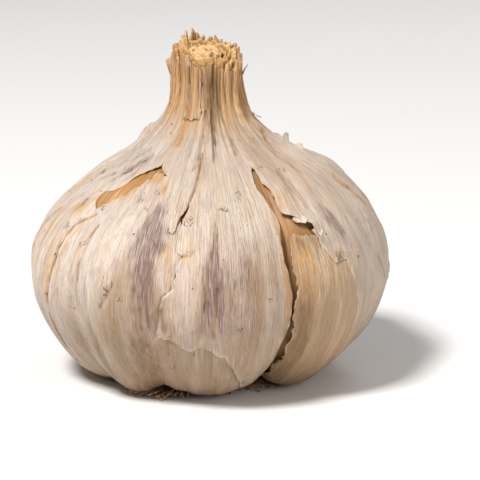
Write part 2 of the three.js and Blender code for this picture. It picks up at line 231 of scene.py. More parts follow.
# Radius and height at each station.
OUTLINE = (
    (7.6, 4.6), (12.8, 0.9), (19.4, 1.0), (25.4, 6.2), (29.3, 14.0), (29.6, 21.7), (26.3, 28.6),
    (20.5, 34.1), (12.9, 38.3), (7.9, 42.3), (6.2, 47.9), (6.2, 54.1), (6.5, 60.3),
)
FURROWS = (
    Furrow(-47, -4, 8, 1.6), Furrow(-11, -17, 6, 1.7), Furrow(30, -3, 0, 3.4),
    Furrow(72, 3, 0, 1.6), Furrow(112, 2, 0, 2.4), Furrow(151, -2, 0, 1.7),
    Furrow(190, 0, 0, 2.6), Furrow(229, 3, 0, 1.7), Furrow(268, 2, 0, 1.9),
)
SWELLINGS = (
    Swelling(-80, 55, 7.0, 1.3, -1.8), Swelling(92, 60, 4.6, 1.6, 0.4),
    Swelling(-20, 60, 8.0, 1.0, 0.3), Swelling(72, 32, 7.4, 0.8, 0.9),
    Swelling(-40, 24, 2.0, 0.8, 0.6),
)


@dataclass(frozen=True)
class BulbForm:
    """The surface of the dressed bulb, as a function of bearing and station.

    Attributes:
        outline: [radius, height] at each station, joined by Catmull-Rom curves.
        furrows: the furrows between cloves, in order round the bulb.
        swellings: where it departs from round.
        splinters: strips that the cut rim is split into.
        slit_depth: stations, of the deepest slit between splinters.
        rim_front: station of the rim in front.
        rim_back: station of the rim at the back.
        rim_lean: stations that it is higher by on the left and lower by on the right.
        long_splinter: bearing of the one that leans well out.
        splay: millimetres that the others lean out by, at most.
        unevenness: millimetres that the whole surface is uneven by, at most.
        slimmer: millimetres that the neck's leaves are drawn in by.
    """

    outline: Pairs = OUTLINE
    furrows: tuple[Furrow, ...] = FURROWS
    swellings: tuple[Swelling, ...] = SWELLINGS
    splinters: int = 23
    slit_depth: float = 0.75
    rim_front: float = 10.72
    rim_back: float = 11.2
    rim_lean: float = 0.12
    long_splinter: float = -76.0
    splay: float = 0.3
    unevenness: float = 0.28
    slimmer: float = 0.5

    def spine(self, station: Array) -> Array:
        """Give radius and height on the outline.

        Between points b and c of a run a, b, c, d: (2b - 2c + p + q) w^3 + (3c - 3b - 2p - q) w^2
        + p w + b, with slopes p = (c - a) / 2 and q = (d - b) / 2.

        Args:
            station: stations.

        Returns:
            Radius and height, in the last axis.
        """
        points = np.array(self.outline)
        last = len(points) - 1
        k = np.clip(station, 0, last)
        i = np.floor(k).astype(int)
        w = (k - i)[..., None]
        a, b, c, d = (points[np.clip(i + step, 0, last)] for step in (-1, 0, 1, 2))
        p, q = (c - a) / 2, (d - b) / 2
        return (2 * b - 2 * c + p + q) * w**3 + (3 * c - 3 * b - 2 * p - q) * w**2 + p * w + b

    def outward(self, station: Array) -> Array:
        """Give the unit vector out of the outline, (dz, -dr) of its direction.

        Args:
            station: stations.

        Returns:
            Its parts along radius and height, in the last axis.
        """
        step = 0.01
        along = self.spine(station + step) - self.spine(station - step)
        along /= np.linalg.norm(along, axis=-1, keepdims=True) + 1e-9
        return np.stack([along[..., 1], -along[..., 0]], axis=-1)

    def furrow_depth(self, bearing: Array, station: Array, drape: Drape) -> Array:
        """Sink the surface towards the furrows: depth * (1 - |sin(pi x)|^sharpness), x the share
        of the way from one furrow to the next, deeper under the bulb and fading on the shoulder.

        Args:
            bearing: degrees.
            station: stations.
            drape: how the skin follows the furrows.

        Returns:
            Millimetres below the crown of a clove.
        """
        share, sharpness = drape.value
        depth = np.zeros(np.broadcast(bearing, station).shape)
        for low, high in zip(self.furrows, self.furrows[1:] + self.furrows[:1]):
            start = low.at(station)
            width = (high.at(station) - start) % 360
            x = (bearing - start) % 360 / width
            arch = np.sqrt(np.sin(np.pi * x) ** 2 + 0.004) ** sharpness
            sunk = (low.depth * (1 - x) + high.depth * x) * (1 - np.minimum(arch, 1))
            depth = np.where(x < 1, sunk, depth)
        fading = 1 - smooth(5, 8.6, station)
        deepening = 1 + 0.9 * (1 - smooth(0.8, 4, station))
        return depth * share * fading * deepening

    def point(self, bearing: Array, station: Array, out: Array, drape: Drape, floor: float = 0.0) -> Array:
        """Give a point at a distance outside the dressed bulb.

        Args:
            bearing: degrees.
            station: stations.
            out: millimetres outwards.
            drape: how the skin follows the furrows.
            floor: lowest height it may have, in millimetres.

        Returns:
            x, y, z in millimetres, in the last axis.
        """
        height = out - self.furrow_depth(bearing, station, drape)
        for swelling in self.swellings:
            height = height + swelling.at(bearing, station)
        height = height + self.unevenness * BROAD_WAVES.at(bearing, station)
        place = self.spine(station) + self.outward(station) * height[..., None]
        angle = np.radians(bearing)
        radius, z = place[..., 0], np.maximum(place[..., 1], floor)
        return np.stack([radius * np.sin(angle), -radius * np.cos(angle), z], axis=-1)

    def splinter(self, bearing: Array) -> tuple[Array, Array]:
        """Say which splinter of the rim a bearing is in, and the share of the way across it.

        Args:
            bearing: degrees.

        Returns:
            The splinter's number and the share, 0 to 1.
        """
        angle = np.radians(bearing % 360)
        place = bearing % 360 / 360 * self.splinters
        place = place + 0.3 * np.sin(5 * angle) + 0.15 * np.sin(8 * angle + 1)
        number = np.floor(place)
        return number % self.splinters, place - number

    def slit(self, bearing: Array, sharpness: float) -> Array:
        """Give how deep in a slit a bearing is, |2 x - 1|^sharpness, 1 in the deepest ones.

        Args:
            bearing: degrees.
            sharpness: the power, higher for narrower slits.

        Returns:
            0 on a splinter's middle, up to 1 in a slit.
        """
        number, across = self.splinter(bearing)
        beside = (number + (across > 0.5)) % self.splinters
        uneven = 0.3 + 0.7 * np.abs(np.sin(beside * 1.3))
        return uneven * np.abs(2 * across - 1) ** sharpness

    def rim(self, bearing: Array, seed: float, sharpness: float = 22.0) -> Array:
        """Give the station of the cut rim: higher at the back, split and uneven.

        Args:
            bearing: degrees.
            seed: changes the height of each splinter.
            sharpness: how narrow the slits are.

        Returns:
            Stations.
        """
        angle = np.radians(bearing)
        backness = ((1 - np.cos(angle)) / 2) ** 1.7
        level = self.rim_front + (self.rim_back - self.rim_front) * backness - self.rim_lean * np.sin(angle)
        number, across = self.splinter(bearing)
        tip = 0.11 * np.sin(number * 2.7 + seed) + 0.12 * np.sin(number * 5.3) * (across - 0.5)
        tip = tip - 0.22 * (1 - smooth(0.7, 1.1, np.abs(turn(self.long_splinter, bearing)) / 8))
        return level + tip - self.slit_depth * (1 - 0.7 * backness) * self.slit(bearing, sharpness)

    def lean(self, bearing: Array, station: Array) -> Array:
        """Give how far the splinters lean out above the slits, the long one well out.

        Args:
            bearing: degrees.
            station: stations.

        Returns:
            Millimetres outwards.
        """
        number, _ = self.splinter(bearing)
        away = np.abs(turn(self.long_splinter, bearing)) / 7
        long = 1.5 * (1 - smooth(0.7, 1, away))
        return smooth(10.3, 11.2, station) * (self.splay * (0.5 + 0.5 * np.sin(number * 1.9)) + long)

    def twisted(self, bearing: Array, station: Array) -> Array:
        """Give the bearing at which the neck's strip at a place meets the rim: they wind a little."""
        below = np.clip(RIM - station, 0, 2.5)
        return bearing + 4 * np.sin(2.2 * below) + 4.5 * below * BROAD_WAVES.at(bearing, 1.6 * station)

    def neck_folds(self, bearing: Array, station: Array) -> Array:
        """Give the folds below the neck, as a sum of sines round the axis, and the strips on it.

        Args:
            bearing: degrees.
            station: stations.

        Returns:
            Millimetres outwards.
        """
        angle = np.radians(bearing)
        folds = 0.6 * np.sin(9 * angle + 0.8) + 0.4 * np.sin(14 * angle + 2.1)
        number, across = self.splinter(self.twisted(bearing, station))
        strips = np.sin(number * 4.3) * (1 - np.abs(2 * across - 1) ** 3)
        in_neck = smooth(8.8, 10, station)
        swell = 0.42 * smooth(6.6, 8.4, station) * (1 - 0.5 * in_neck)
        return swell * folds + (0.3 * strips - self.slimmer) * in_neck

    def fibres(self, bearing: Array, station: Array) -> Array:
        """Place the skin for its grain: the point on a cylinder as wide as the girth, so that the
        grain keeps to its meridian, and the height along the outline.

        Args:
            bearing: degrees.
            station: stations.

        Returns:
            Three numbers in millimetres, in the last axis.
        """
        angle = np.radians(bearing)
        return np.stack([GIRTH * np.sin(angle), -GIRTH * np.cos(angle), station * STATION_LENGTH], axis=-1)


BROAD_WAVES = LatticeNoise(seed=11, cells_round=26, cells_up=1.1)
RIBS = LatticeNoise(seed=12, cells_round=120, cells_up=0.45)
THREADS = LatticeNoise(seed=13, cells_round=380, cells_up=0.6)
CRUMPLES = LatticeNoise(seed=14, cells_round=90, cells_up=4.0)
FORM = BulbForm()


@dataclass(frozen=True)
class Crease:
    """A narrow fold or tear in the skin, along a broken line.

    Attributes:
        path: its points, (bearing, station).
        depth: millimetres, below zero for a raised one.
        width: millimetres, half of it.
        ochre: how ochre it is, 0 to 1.
        brown_and_shade: how brown it is, 0 to 1, partly brown stain and partly painted shade in the fold.
    """

    path: Pairs
    depth: float
    width: float
    ochre: float = 0.0
    brown_and_shade: float = 0.0

    def near(self, bearing: Array, station: Array, width: float | None = None) -> Array:
        """Say how near places are: exp(-(d / width)^2), with d the distance in millimetres to the
        nearest segment, measured on the skin laid flat.

        Args:
            bearing: degrees.
            station: stations.
            width: millimetres, the crease's own if not given.

        Returns:
            0 to 1.
        """
        radius = FORM.spine(station)[..., 0] * np.pi / 180
        nearest = np.full(np.broadcast(bearing, station).shape, 1e3)
        for (b0, s0), (b1, s1) in zip(self.path, self.path[1:]):
            x, y = turn(b0, bearing) * radius, (station - s0) * STATION_LENGTH
            dx, dy = (b1 - b0) * radius, (s1 - s0) * STATION_LENGTH
            share = np.clip((x * dx + y * dy) / (dx * dx + dy * dy + 1e-9), 0, 1)
            nearest = np.minimum(nearest, np.hypot(x - share * dx, y - share * dy))
        return np.exp(-((nearest / (width or self.width)) ** 2))


CREASES = (
    Crease(
        (
            (-50, 6.4), (-53.2, 6.17), (-56, 6.02), (-58.3, 5.74), (-58.6, 5.4), (-58.9, 5), (-60, 4.5),
            (-61.6, 4),
        ),
        0.3, 0.2, 0.85, 0.5,
    ),
    Crease(((-9, 6.6), (-7.6, 6.88), (-6, 7.2), (-5.3, 7.4), (-4.3, 7.65), (-4, 8.0)), 0.25, 0.14, 0.3, 0.9),
    Crease(((-45.2, 6.14), (-46.4, 5.86), (-46.4, 5.57), (-46.8, 5.24), (-46, 4.83)), 0.5, 0.22, 0.5, 0.75),
    Crease(((-46, 4.83), (-46.4, 4.4), (-46.4, 4.1)), 0.25, 0.25, 0.4, 0.1),
    Crease(((-53, 6.05), (-55, 5.7), (-55.4, 5.3), (-55.8, 4.8), (-57, 4.3)), 0.2, 0.3, 0.55, 0.1),
    Crease(((-4.2, 6.3), (-2.4, 5.5), (-2, 4.9), (-3.4, 4.3), (-3.8, 4.07)), -0.35, 0.5),
    Crease(((4, 6.09), (1.2, 5.5), (0.4, 4.98), (-1.2, 4.29), (-1.6, 3.9)), 0.4, 0.26, 0.0, 0.5),
    Crease(((6.4, 5.6), (6.2, 4.8), (5.6, 4.0)), -0.3, 0.5),
    Crease(((3.6, 5.2), (3.2, 4.6), (2.4, 3.9)), 0.25, 0.25, 0.0, 0.6),
    Crease(((-9, 5.4), (-8, 4.8), (-7.6, 4.1)), 0.22, 0.5),
    Crease(((-8.4, 5.63), (-5.2, 5.67), (-3.6, 5.75)), 0.25, 0.2, 0.6, 0.3),
    Crease(((-14, 4.66), (-14, 4.35), (-13.2, 3.98)), 0.35, 0.3, 0.1, 0.95),
    Crease(((-86, 7.2), (-76, 7.61), (-64, 7.97), (-55.6, 8.23)), 0.45, 0.35, 0.0, 0.5),
    Crease(((-58.8, 7.25), (-56, 7.5), (-52, 7.75), (-46.4, 8.05)), 0.4, 0.28, 0.1, 0.6),
    Crease(((-82, 6.9), (-70, 7.35), (-60, 7.7), (-52, 8.1)), 0.35, 0.3, 0.1, 0.4),
    Crease(((-95, 7.3), (-84, 7.7), (-74, 8.2)), 0.4, 0.4, 0.0, 0.3),
    Crease(((-70, 6.9), (-62, 7.2), (-55, 7.4)), -0.3, 0.5, 0.0),
    Crease(((57, 8.5), (55, 7.7), (51, 7.1), (50, 6.7)), 0.35, 0.3, 0.1, 0.35),
    Crease(((47, 9.3), (47, 8.7), (43.6, 7.8), (40, 7.0), (40, 6.6)), 0.4, 0.3, 0.2, 0.4),
    Crease(((74.4, 8.68), (65.2, 8.36), (61.6, 8.08), (59.6, 7.83), (60.8, 7.5)), 0.45, 0.35, 0.5, 0.6),
    Crease(
        ((75.2, 6.89), (75.6, 6.7), (78.4, 6.51), (79.2, 6.32), (82, 6.08), (83.2, 5.85)),
        0.7, 0.42, 1.0, 0.5,
    ),
    Crease(((6.4, 9.5), (6.8, 8.6), (4.8, 7.9)), 0.35, 0.22, 0.0, 0.45),
    Crease(((-2.8, 9.5), (-4.4, 8.8), (-6.4, 8.0)), 0.3, 0.22, 0.1, 0.5),
    Crease(((21.2, 9.6), (24.4, 8.95), (22, 8.1)), 0.3, 0.22, 0.0, 0.5),
    Crease(((-26.4, 8.4), (-27.2, 8.84), (-30.4, 9.23)), 0.2, 0.4, 1.0, 0.2),
    Crease(((-29, 9.3), (-30.5, 9.9), (-31, 10.6)), 0.3, 0.35, 0.9, 0.3),
    Crease(((-54.8, 10.8), (-55.6, 10.14), (-52, 9.4)), 0.3, 0.35, 0.9, 0.3),
    Crease(((2.8, 3.5), (4, 2.9), (5.2, 2.2)), -0.35, 0.35, 0.2),
    Crease(((-9, 3.62), (-15, 3.72), (-20, 3.5)), -0.3, 0.5, 0.2),
    Crease(((120, 8.4), (124, 7.6), (122, 6.9)), 0.4, 0.5, 0.1, 0.2),
    Crease(((160, 8.6), (163, 7.7), (160, 6.8)), 0.4, 0.5, 0.1, 0.2),
    Crease(((214, 8.6), (210, 7.8), (212, 7.0)), 0.4, 0.5, 0.2, 0.2),
    Crease(((240, 8.2), (236, 7.4), (238, 6.7)), 0.35, 0.5, 0.0, 0.3),
)


def wrinkles(seed: int, count: int, low: float, high: float) -> tuple[Crease, ...]:
    """Place short creases at random, nearly along the fibres.

    Args:
        seed: seed of the random numbers.
        count: how many.
        low: lowest station of their lower ends.
        high: highest station of their lower ends.

    Returns:
        The creases.
    """
    rng = np.random.default_rng(seed)
    made = []
    for _ in range(count):
        bearing, station = rng.uniform(-180, 180), rng.uniform(low, high)
        length, slant = rng.uniform(0.25, 1.1), rng.uniform(-7, 7)
        bend = rng.uniform(-1.5, 1.5)
        middle = (bearing + 0.5 * slant + bend, station + 0.5 * length)
        path = ((bearing, station), middle, (bearing + slant, station + length))
        depth = rng.uniform(0.1, 0.38) * rng.choice([-0.7, 1.0])
        # Painted shade: a sunken wrinkle is painted browner the deeper it is.
        made.append(Crease(path, depth, rng.uniform(0.12, 0.34), brown_and_shade=max(depth, 0) * rng.uniform(0, 2.4)))
    return tuple(made)


WRINKLES = wrinkles(15, 70, 6.3, 8.4) + wrinkles(16, 45, 2.6, 6.0)


def paper_relief(bearing: Array, station: Array) -> Array:
    """Give the fine relief of a dry leaf: ribs and threads along it, faint crumples, stronger
    towards the neck, where the leaf is gathered, and creases.

    Args:
        bearing: degrees.
        station: stations.

    Returns:
        Millimetres.
    """
    gathered = smooth(6.5, 9.0, station)
    ribs = RIBS.at(bearing, station) * (0.12 + 0.16 * gathered)
    threads = THREADS.at(bearing, station) * (0.035 + 0.04 * gathered)
    crumples = CRUMPLES.at(bearing, station) * 0.035
    furrowed = -0.36 * FORM.slit(FORM.twisted(bearing, station), 8.0) * smooth(8.8, 10.2, station)
    folds = sum(crease.depth * crease.near(bearing, station) for crease in CREASES + WRINKLES)
    return ribs + threads + crumples + furrowed - folds


@dataclass
class Shape:
    """Vertices in millimetres and faces, with named values on the vertices.

    Attributes:
        points: x, y, z of each vertex.
        quads: four vertex numbers of each face.
        triangles: three vertex numbers of each face.
        fibres: the grain's place at each vertex.
        marks: a value at each vertex, by name, 0 to 1.
    """

    points: Array
    quads: Array = field(default_factory=lambda: np.zeros((0, 4), int))
    triangles: Array = field(default_factory=lambda: np.zeros((0, 3), int))
    fibres: Array | None = None
    marks: dict[str, Array] = field(default_factory=dict)

    @staticmethod
    def joined(shapes: Sequence["Shape"]) -> "Shape":
        """Put shapes into one, with every vertex number moved on by the vertices before it.

        Args:
            shapes: shapes with the same marks.

        Returns:
            One shape.
        """
        starts = np.cumsum([0] + [len(s.points) for s in shapes])
        names = shapes[0].marks
        return Shape(
            points=np.concatenate([s.points for s in shapes]),
            quads=np.concatenate([s.quads + start for s, start in zip(shapes, starts)]),
            triangles=np.concatenate([s.triangles + start for s, start in zip(shapes, starts)]),
            fibres=np.concatenate([s.fibres for s in shapes]),
            marks={name: np.concatenate([s.marks[name] for s in shapes]) for name in names},
        )

    def to_object(self, name: str, material: Material) -> bpy.types.Object:
        """Make the shape a smooth-shaded mesh object in metres.

        Args:
            name: the object's name.
            material: its finish.

        Returns:
            The object, in the scene.
        """
        mesh = bpy.data.meshes.new(name)
        faces = [*self.quads.tolist(), *self.triangles.tolist()]
        mesh.from_pydata((self.points * MM).tolist(), [], faces)
        mesh.polygons.foreach_set("use_smooth", np.ones(len(mesh.polygons), bool))
        grain = self.points if self.fibres is None else self.fibres
        mesh.attributes.new("fibre", "FLOAT_VECTOR", "POINT").data.foreach_set("vector", grain.ravel())
        for mark, values in self.marks.items():
            mesh.attributes.new(mark, "FLOAT", "POINT").data.foreach_set("value", values.ravel())
        mesh.materials.append(material)
        mesh.update()
        made = bpy.data.objects.new(name, mesh)
        bpy.context.scene.collection.objects.link(made)
        return made


def grid_quads(rows: int, columns: int, wrapped: bool = False) -> Array:
    """List the faces of a grid of vertices, numbered row by row and facing out.

    Args:
        rows: rows of vertices.
        columns: vertices in a row.
        wrapped: whether the last column joins the first.

    Returns:
        Four vertex numbers of each face.
    """
    j, i = np.meshgrid(np.arange(rows - 1), np.arange(columns if wrapped else columns - 1), indexing="ij")
    beside = (i + 1) % columns
    corners = (j * columns + i, j * columns + beside, (j + 1) * columns + beside, (j + 1) * columns + i)
    return np.stack(corners, axis=-1).reshape(-1, 4)


def closed_sheet(outer: Array, inner: Array, fibres: Array, marks: Mapping[str, Array]) -> Shape:
    """Close two grids of points, a skin's outer and inner face, with a strip round their rim.

    Args:
        outer: points of the outer face, rows by columns.
        inner: points of the inner face.
        fibres: the grain's place at each point.
        marks: values at each point, by name.

    Returns:
        One closed shape.
    """
    rows, columns = outer.shape[:2]
    count = rows * columns
    faces = grid_quads(rows, columns)
    numbers = np.arange(count).reshape(rows, columns)
    loop = np.concatenate([
        numbers[0, :-1], numbers[:-1, -1], numbers[-1, :0:-1], numbers[:0:-1, 0],
    ])
    after = np.roll(loop, -1)
    rim = np.stack([loop, loop + count, after + count, after], axis=-1)
    return Shape(
        points=np.concatenate([outer.reshape(-1, 3), inner.reshape(-1, 3)]),
        quads=np.concatenate([faces, faces[:, ::-1] + count, rim]),
        fibres=np.tile(fibres.reshape(-1, 3), (2, 1)),
        marks={name: np.tile(values.ravel(), 2) for name, values in marks.items()},
    )


@dataclass(frozen=True)
class Stain:
    """A soft-edged mark on the skin, drawn out along the fibres.

    Attributes:
        bearing: its middle, degrees.
        station: its middle, stations.
        half_width: degrees.
        half_length: stations.
        strength: 0 to 1.
        slant: degrees it turns by in one station.
    """

    bearing: float
    station: float
    half_width: float
    half_length: float
    strength: float
    slant: float = 0.0

    def at(self, bearing: Array, station: Array) -> Array:
        """Give its strength at each place: strength * exp(-across^4 - along^2).

        Args:
            bearing: degrees.
            station: stations.

        Returns:
            0 to 1.
        """
        along = (station - self.station) / self.half_length
        middle = turn(self.bearing, bearing) - self.slant * (station - self.station)
        return self.strength * np.exp(-((middle / self.half_width) ** 4) - along * along)


# Purple streaks.
PURPLE = tuple(Stain(*row) for row in (
    (-21.5, 6.05, 4.6, 0.8, 0.6, 3.0), (-21.8, 6.25, 1.7, 0.5, 1.0, 4.0),
    (-19.0, 6.1, 1.0, 0.35, 0.6, 4.0), (-15.5, 6.0, 2.5, 0.3, 0.6),
    (-20, 4.9, 3.8, 0.9, 0.6), (-18, 4.8, 1.0, 0.6, 0.5), (-31, 6.9, 2.2, 0.4, 0.45),
    (2.0, 4.9, 3.6, 0.9, 0.6), (1.2, 4.7, 1.2, 0.7, 0.6, 1.5), (4.6, 4.5, 0.9, 0.5, 0.5),
    (3.2, 5.9, 1.2, 0.6, 0.5), (12, 5.0, 6.0, 1.2, 0.42), (-18, 5.4, 6.5, 1.3, 0.18),
    (5, 5.0, 7.0, 1.4, 0.13), (50, 6.1, 3.2, 0.5, 0.6, -4.0), (51, 6.0, 1.2, 0.4, 0.6, -4.0),
    (-52, 7.6, 7.0, 0.45, 0.55, 8.0), (-56, 7.75, 2.5, 0.2, 0.5, 10.0),
    (-64, 7.9, 5.0, 0.3, 0.5), (-38, 7.95, 5.0, 0.3, 0.4, 12.0),
    (-58, 3.2, 2.0, 0.7, 0.3), (120, 5.5, 5.0, 1.0, 0.6), (168, 5.0, 4.0, 1.3, 0.7),
    (214, 5.8, 4.5, 0.9, 0.7), (238, 5.0, 3.0, 1.0, 0.6), (72, 7.4, 5.0, 0.5, 0.35),
))
# Ochre, beside tears and folds.
OCHRE = tuple(Stain(*row) for row in (
    (-40, 7.0, 3.0, 0.3, 0.6, 17.0), (-27.6, 7.45, 4.0, 0.14, 0.8), (-74, 6.2, 4.0, 0.5, 0.5),
    (-62, 6.45, 4.0, 0.25, 0.85), (-66, 5.8, 1.5, 0.5, 0.5),
    (-83, 5.2, 2.5, 0.8, 0.9), (-70, 5.4, 1.6, 0.9, 0.75), (-48.5, 5.5, 1.4, 0.6, 0.5),
    (-62, 5.2, 1.5, 0.7, 0.55), (-21, 7.2, 1.6, 0.15, 0.9), (-14, 5.75, 1.6, 0.25, 0.6),
    (-12.5, 5.4, 1.6, 0.4, 0.5), (-3, 7.1, 0.9, 0.2, 0.6),
    (27, 5.2, 1.4, 1.4, 0.8), (33, 5.6, 5.0, 0.5, 0.5),
    (35, 4.9, 3.0, 0.7, 0.3), (33, 6.9, 3.0, 0.25, 0.6), (60, 6.6, 6.0, 0.2, 0.3),
    (70, 4.6, 3.0, 0.6, 0.35), (140, 6.4, 5.0, 0.6, 0.5), (186, 6.8, 4.0, 1.0, 0.8),
    (226, 6.4, 4.0, 0.6, 0.5), (-95, 6.8, 6.0, 0.5, 0.5), (-30, 8.6, 2.0, 0.5, 0.7, 4.0),
    (44, 3.2, 10.0, 1.6, 0.2), (-56, 2.2, 6.0, 0.6, 0.3),
))
# Brown stains, and painted shade in grooves and folds.
BROWN_AND_SHADE = tuple(Stain(*row) for row in (
    (9, 10.0, 16.0, 0.6, 1.0), (8, 9.0, 8.0, 0.7, 0.45), (30, 3.0, 6.0, 1.3, 0.8),
    (38, 5.8, 7.0, 0.3, 0.6), (-28, 1.4, 14.0, 0.8, 0.8), (150, 9.8, 20.0, 0.6, 0.5),
    (47, 5.35, 1.8, 0.12, 1.0), (33.5, 3.8, 2.5, 1.0, 0.7),
    (-66, 1.8, 12.0, 0.5, 0.6), (46, 2.2, 12.0, 0.8, 0.5), (-24, 2.8, 9.0, 0.9, 0.5),
    (-40, 3.2, 2.5, 1.2, 0.55), (-22, 3.6, 4.0, 1.2, 0.5), (-78, 2.6, 5.0, 0.8, 0.5),
))
# Painted shade and older skin: darker patches, besides the shaded side and the underside.
SHADED = tuple(Stain(*row) for row in (
    (18, 4.2, 18.0, 1.6, 0.9), (-22, 3.9, 10.0, 1.3, 0.8), (-23, 4.8, 6.0, 0.7, 0.6),
    (-40, 3.0, 16.0, 0.8, 0.5), (-31, 3.6, 6.0, 1.2, 0.4), (46, 7.9, 14.0, 0.9, 0.55),
    (36, 4.0, 8.0, 1.4, 0.3),
))
# Painted light: where the inner skin lies open it takes a paler copy of its colour.
OPEN_PAINTED_LIGHT = tuple(Stain(*row) for row in (
    (-44, 7.0, 15.0, 0.8, 1.0, 14.0), (31, 6.6, 6.0, 0.6, 0.25), (186, 6.8, 7.0, 1.3, 1.0),
))
# Bearing, station and size in millimetres of each cluster of specks.
SPECKS = (
    (-78.4, 6.4, 0.35), (-62.4, 6.6, 0.4), (-61.5, 6.5, 0.3), (-60.0, 5.9, 0.45), (-49.2, 6.57, 0.4),
    (-55.6, 6.14, 0.3), (-48.4, 5.66, 0.4), (-58.4, 5.22, 0.35), (-60.8, 4.34, 0.4), (-32.4, 4.77, 0.4),
    (-32.8, 4.68, 0.3), (-30.4, 6.88, 0.35), (-25.6, 6.68, 0.35), (-17.2, 5.9, 0.4), (-7.2, 6.43, 0.5),
    (-6.4, 6.5, 0.35), (-6.0, 6.36, 0.3), (34.0, 7.65, 0.3), (44.8, 7.45, 0.35), (36.8, 6.12, 0.3),
    (55.2, 5.23, 0.35), (65.6, 5.91, 0.35), (7.6, 6.67, 0.3), (5.6, 6.7, 0.3), (14.4, 7.06, 0.35),
    (13.6, 6.9, 0.3), (-27.2, 4.61, 0.3), (-25.6, 3.62, 0.3), (10.4, 4.08, 0.3), (20.0, 4.65, 0.3),
    (-52, 7.9, 0.4), (-57, 7.5, 0.3), (-24, 7.1, 0.4), (-12, 3.1, 0.35), (4, 2.8, 0.3), (15, 2.6, 0.3),
    (140, 5.6, 0.4), (166, 6.8, 0.35), (205, 4.8, 0.4), (228, 6.3, 0.35), (112, 6.9, 0.35),
)


def specks_at(bearing: Array, station: Array) -> Array:
    """Give where specks lie thick: exp(-(d / (1.8 size))^4), with d the distance to each cluster.

    Args:
        bearing: degrees.
        station: stations.

    Returns:
        0 to 1.
    """
    radius = FORM.spine(station)[..., 0] * np.pi / 180
    total = 0
    for middle, level, size in SPECKS:
        away = np.hypot(turn(middle, bearing) * radius, (station - level) * STATION_LENGTH)
        total = total + np.exp(-((away / (1.8 * size)) ** 4))
    return np.minimum(total, 1)


def skin_marks(bearing: Array, station: Array) -> dict[str, Array]:
    """Give the stains of a skin, painted shade among them, and how far it is into the neck and towards the
    shaded side.

    Args:
        bearing: degrees.
        station: stations.

    Returns:
        Values between 0 and 1, by name.
    """
    def total(stains: Sequence[Stain]) -> Array:
        """Add up stains, at most to 1."""
        return np.minimum(sum(stain.at(bearing, station) for stain in stains), 1)

    torn = [(crease, crease.near(bearing, station, 1.5 * crease.width)) for crease in CREASES + WRINKLES]
    # Painted shade and older tan: darker towards the shaded side here, and underneath further down.
    shade_and_age = 0.5 + 0.5 * np.cos(np.radians(bearing - SHADED_SIDE))
    # Painted shade: the slits between the neck's strips are painted brown.
    slits = 0.6 * FORM.slit(FORM.twisted(bearing, station), 9.0) * smooth(9.0, 10.2, station)
    return {
        "purple": total(PURPLE),
        "ochre": np.minimum(total(OCHRE) + sum(crease.ochre * near for crease, near in torn), 1),
        # Brown stains, and painted shade in grooves, folds and slits.
        "brown_and_shade": np.minimum(total(BROWN_AND_SHADE) + slits + sum(crease.brown_and_shade * near for crease, near in torn), 1),
        # Painted light: where the inner skin lies open.
        "open_painted_light": total(OPEN_PAINTED_LIGHT),
        "speck": specks_at(bearing, station),
        "lip": np.zeros_like(bearing * station),
        "neck": smooth(8.0, 10.2, station),
        # Painted shade and older tan, on the shaded side, underneath and in the shaded patches.
        "shade_and_age": np.clip(shade_and_age * 0.4 + 0.95 * (1 - smooth(1.8, 5.4, station)) + total(SHADED), 0, 1),
    }


@dataclass(frozen=True)
class Tuck:
    """How an edge of a leaf slips under its neighbour.

    Attributes:
        reach: millimetres that it runs on past the leaf's own outline.
        dip: millimetres it sinks by there.
        low: station above which it does.
    """

    reach: float
    dip: float = 0.3
    low: float = -1.0

    def share(self, station: Array) -> Array:
        """Give how far it is tucked in at each station, 0 to 1."""
        return smooth(self.low - 0.3, self.low + 0.3, station)


@dataclass(frozen=True)
class Lift:
    """How an edge of a leaf curls away from the bulb.

    Attributes:
        height: millimetres.
        low: station above which it does.
        high: station below which it does.
        width: share of the leaf's width that it takes up.
    """

    height: float
    low: float = -1.0
    high: float = 12.0
    width: float = 0.22

    def at(self, station: Array) -> Array:
        """Give the height at each station, fading over 0.7 of one at both ends."""
        rise = smooth(self.low - 0.5, self.low + 0.2, station)
        return self.height * rise * (1 - smooth(self.high - 0.2, self.high + 0.5, station))


@dataclass(frozen=True)
class LeafPattern:
    """The outline of a wrapper leaf and how its edges behave.

    Attributes:
        name: name of the piece.
        node: the solid it stands for.
        left: its left edge, (bearing, station) from the root upwards.
        right: its right edge.
        foot: its foot, from left to right, straight if not given.
        top: its top, or nothing where it runs on into the rim of the neck.
        lifts: edges that curl out.
        tucks: edges that slip under a neighbour.
        torn: how ragged edges are, 1 if not given.
        stained: how ochre the torn edges are, 0 to 1.
        slot: its material slot, which picks its finish.
        seed: seed of its tears.
        cell: width of its mesh cells in millimetres; they are 1.8 times as long.
        raised: millimetres that the whole leaf lies outside the bulb's form.
        rim_seed: seed of the rim's splinters.
        lip: how whitish the very edge is, 0 to 1, partly the thin edge's own pale colour and partly painted
            highlight.
    """

    name: str
    node: str
    left: Pairs
    right: Pairs
    foot: Pairs | None = None
    top: Pairs | None = None
    lifts: Mapping[Edge, Lift] = field(default_factory=dict)
    tucks: Mapping[Edge, Tuck] = field(default_factory=dict)
    torn: Mapping[Edge, float] = field(default_factory=dict)
    stained: float = 0.5
    slot: Slot = Slot.WRAPPER
    seed: int = 1
    cell: float = 0.27
    raised: float = 0.0
    rim_seed: float = 1.0
    lip: float = 0.8


TUCK_WIDTH = 0.11  # share of a leaf's width over which a tucked edge sinks
SIDE_LENGTH, END_LENGTH = 95.0, 30.0  # millimetres over which a leaf's edges are torn
OCHRE_REACH, LIP_REACH = 0.7, 0.25  # millimetres in from a torn edge
# Tears of the sides of a leaf, of its foot and top, and of the rim's fibres.
SIDE_WAVES = ((5.0, 0.3), (1.7, 0.22), (0.7, 0.14))
TORN_WAVES = ((4.0, 0.45), (1.4, 0.35), (0.6, 0.22))
RIM_WAVES = ((1.5, 0.07), (0.6, 0.06), (0.25, 0.03))


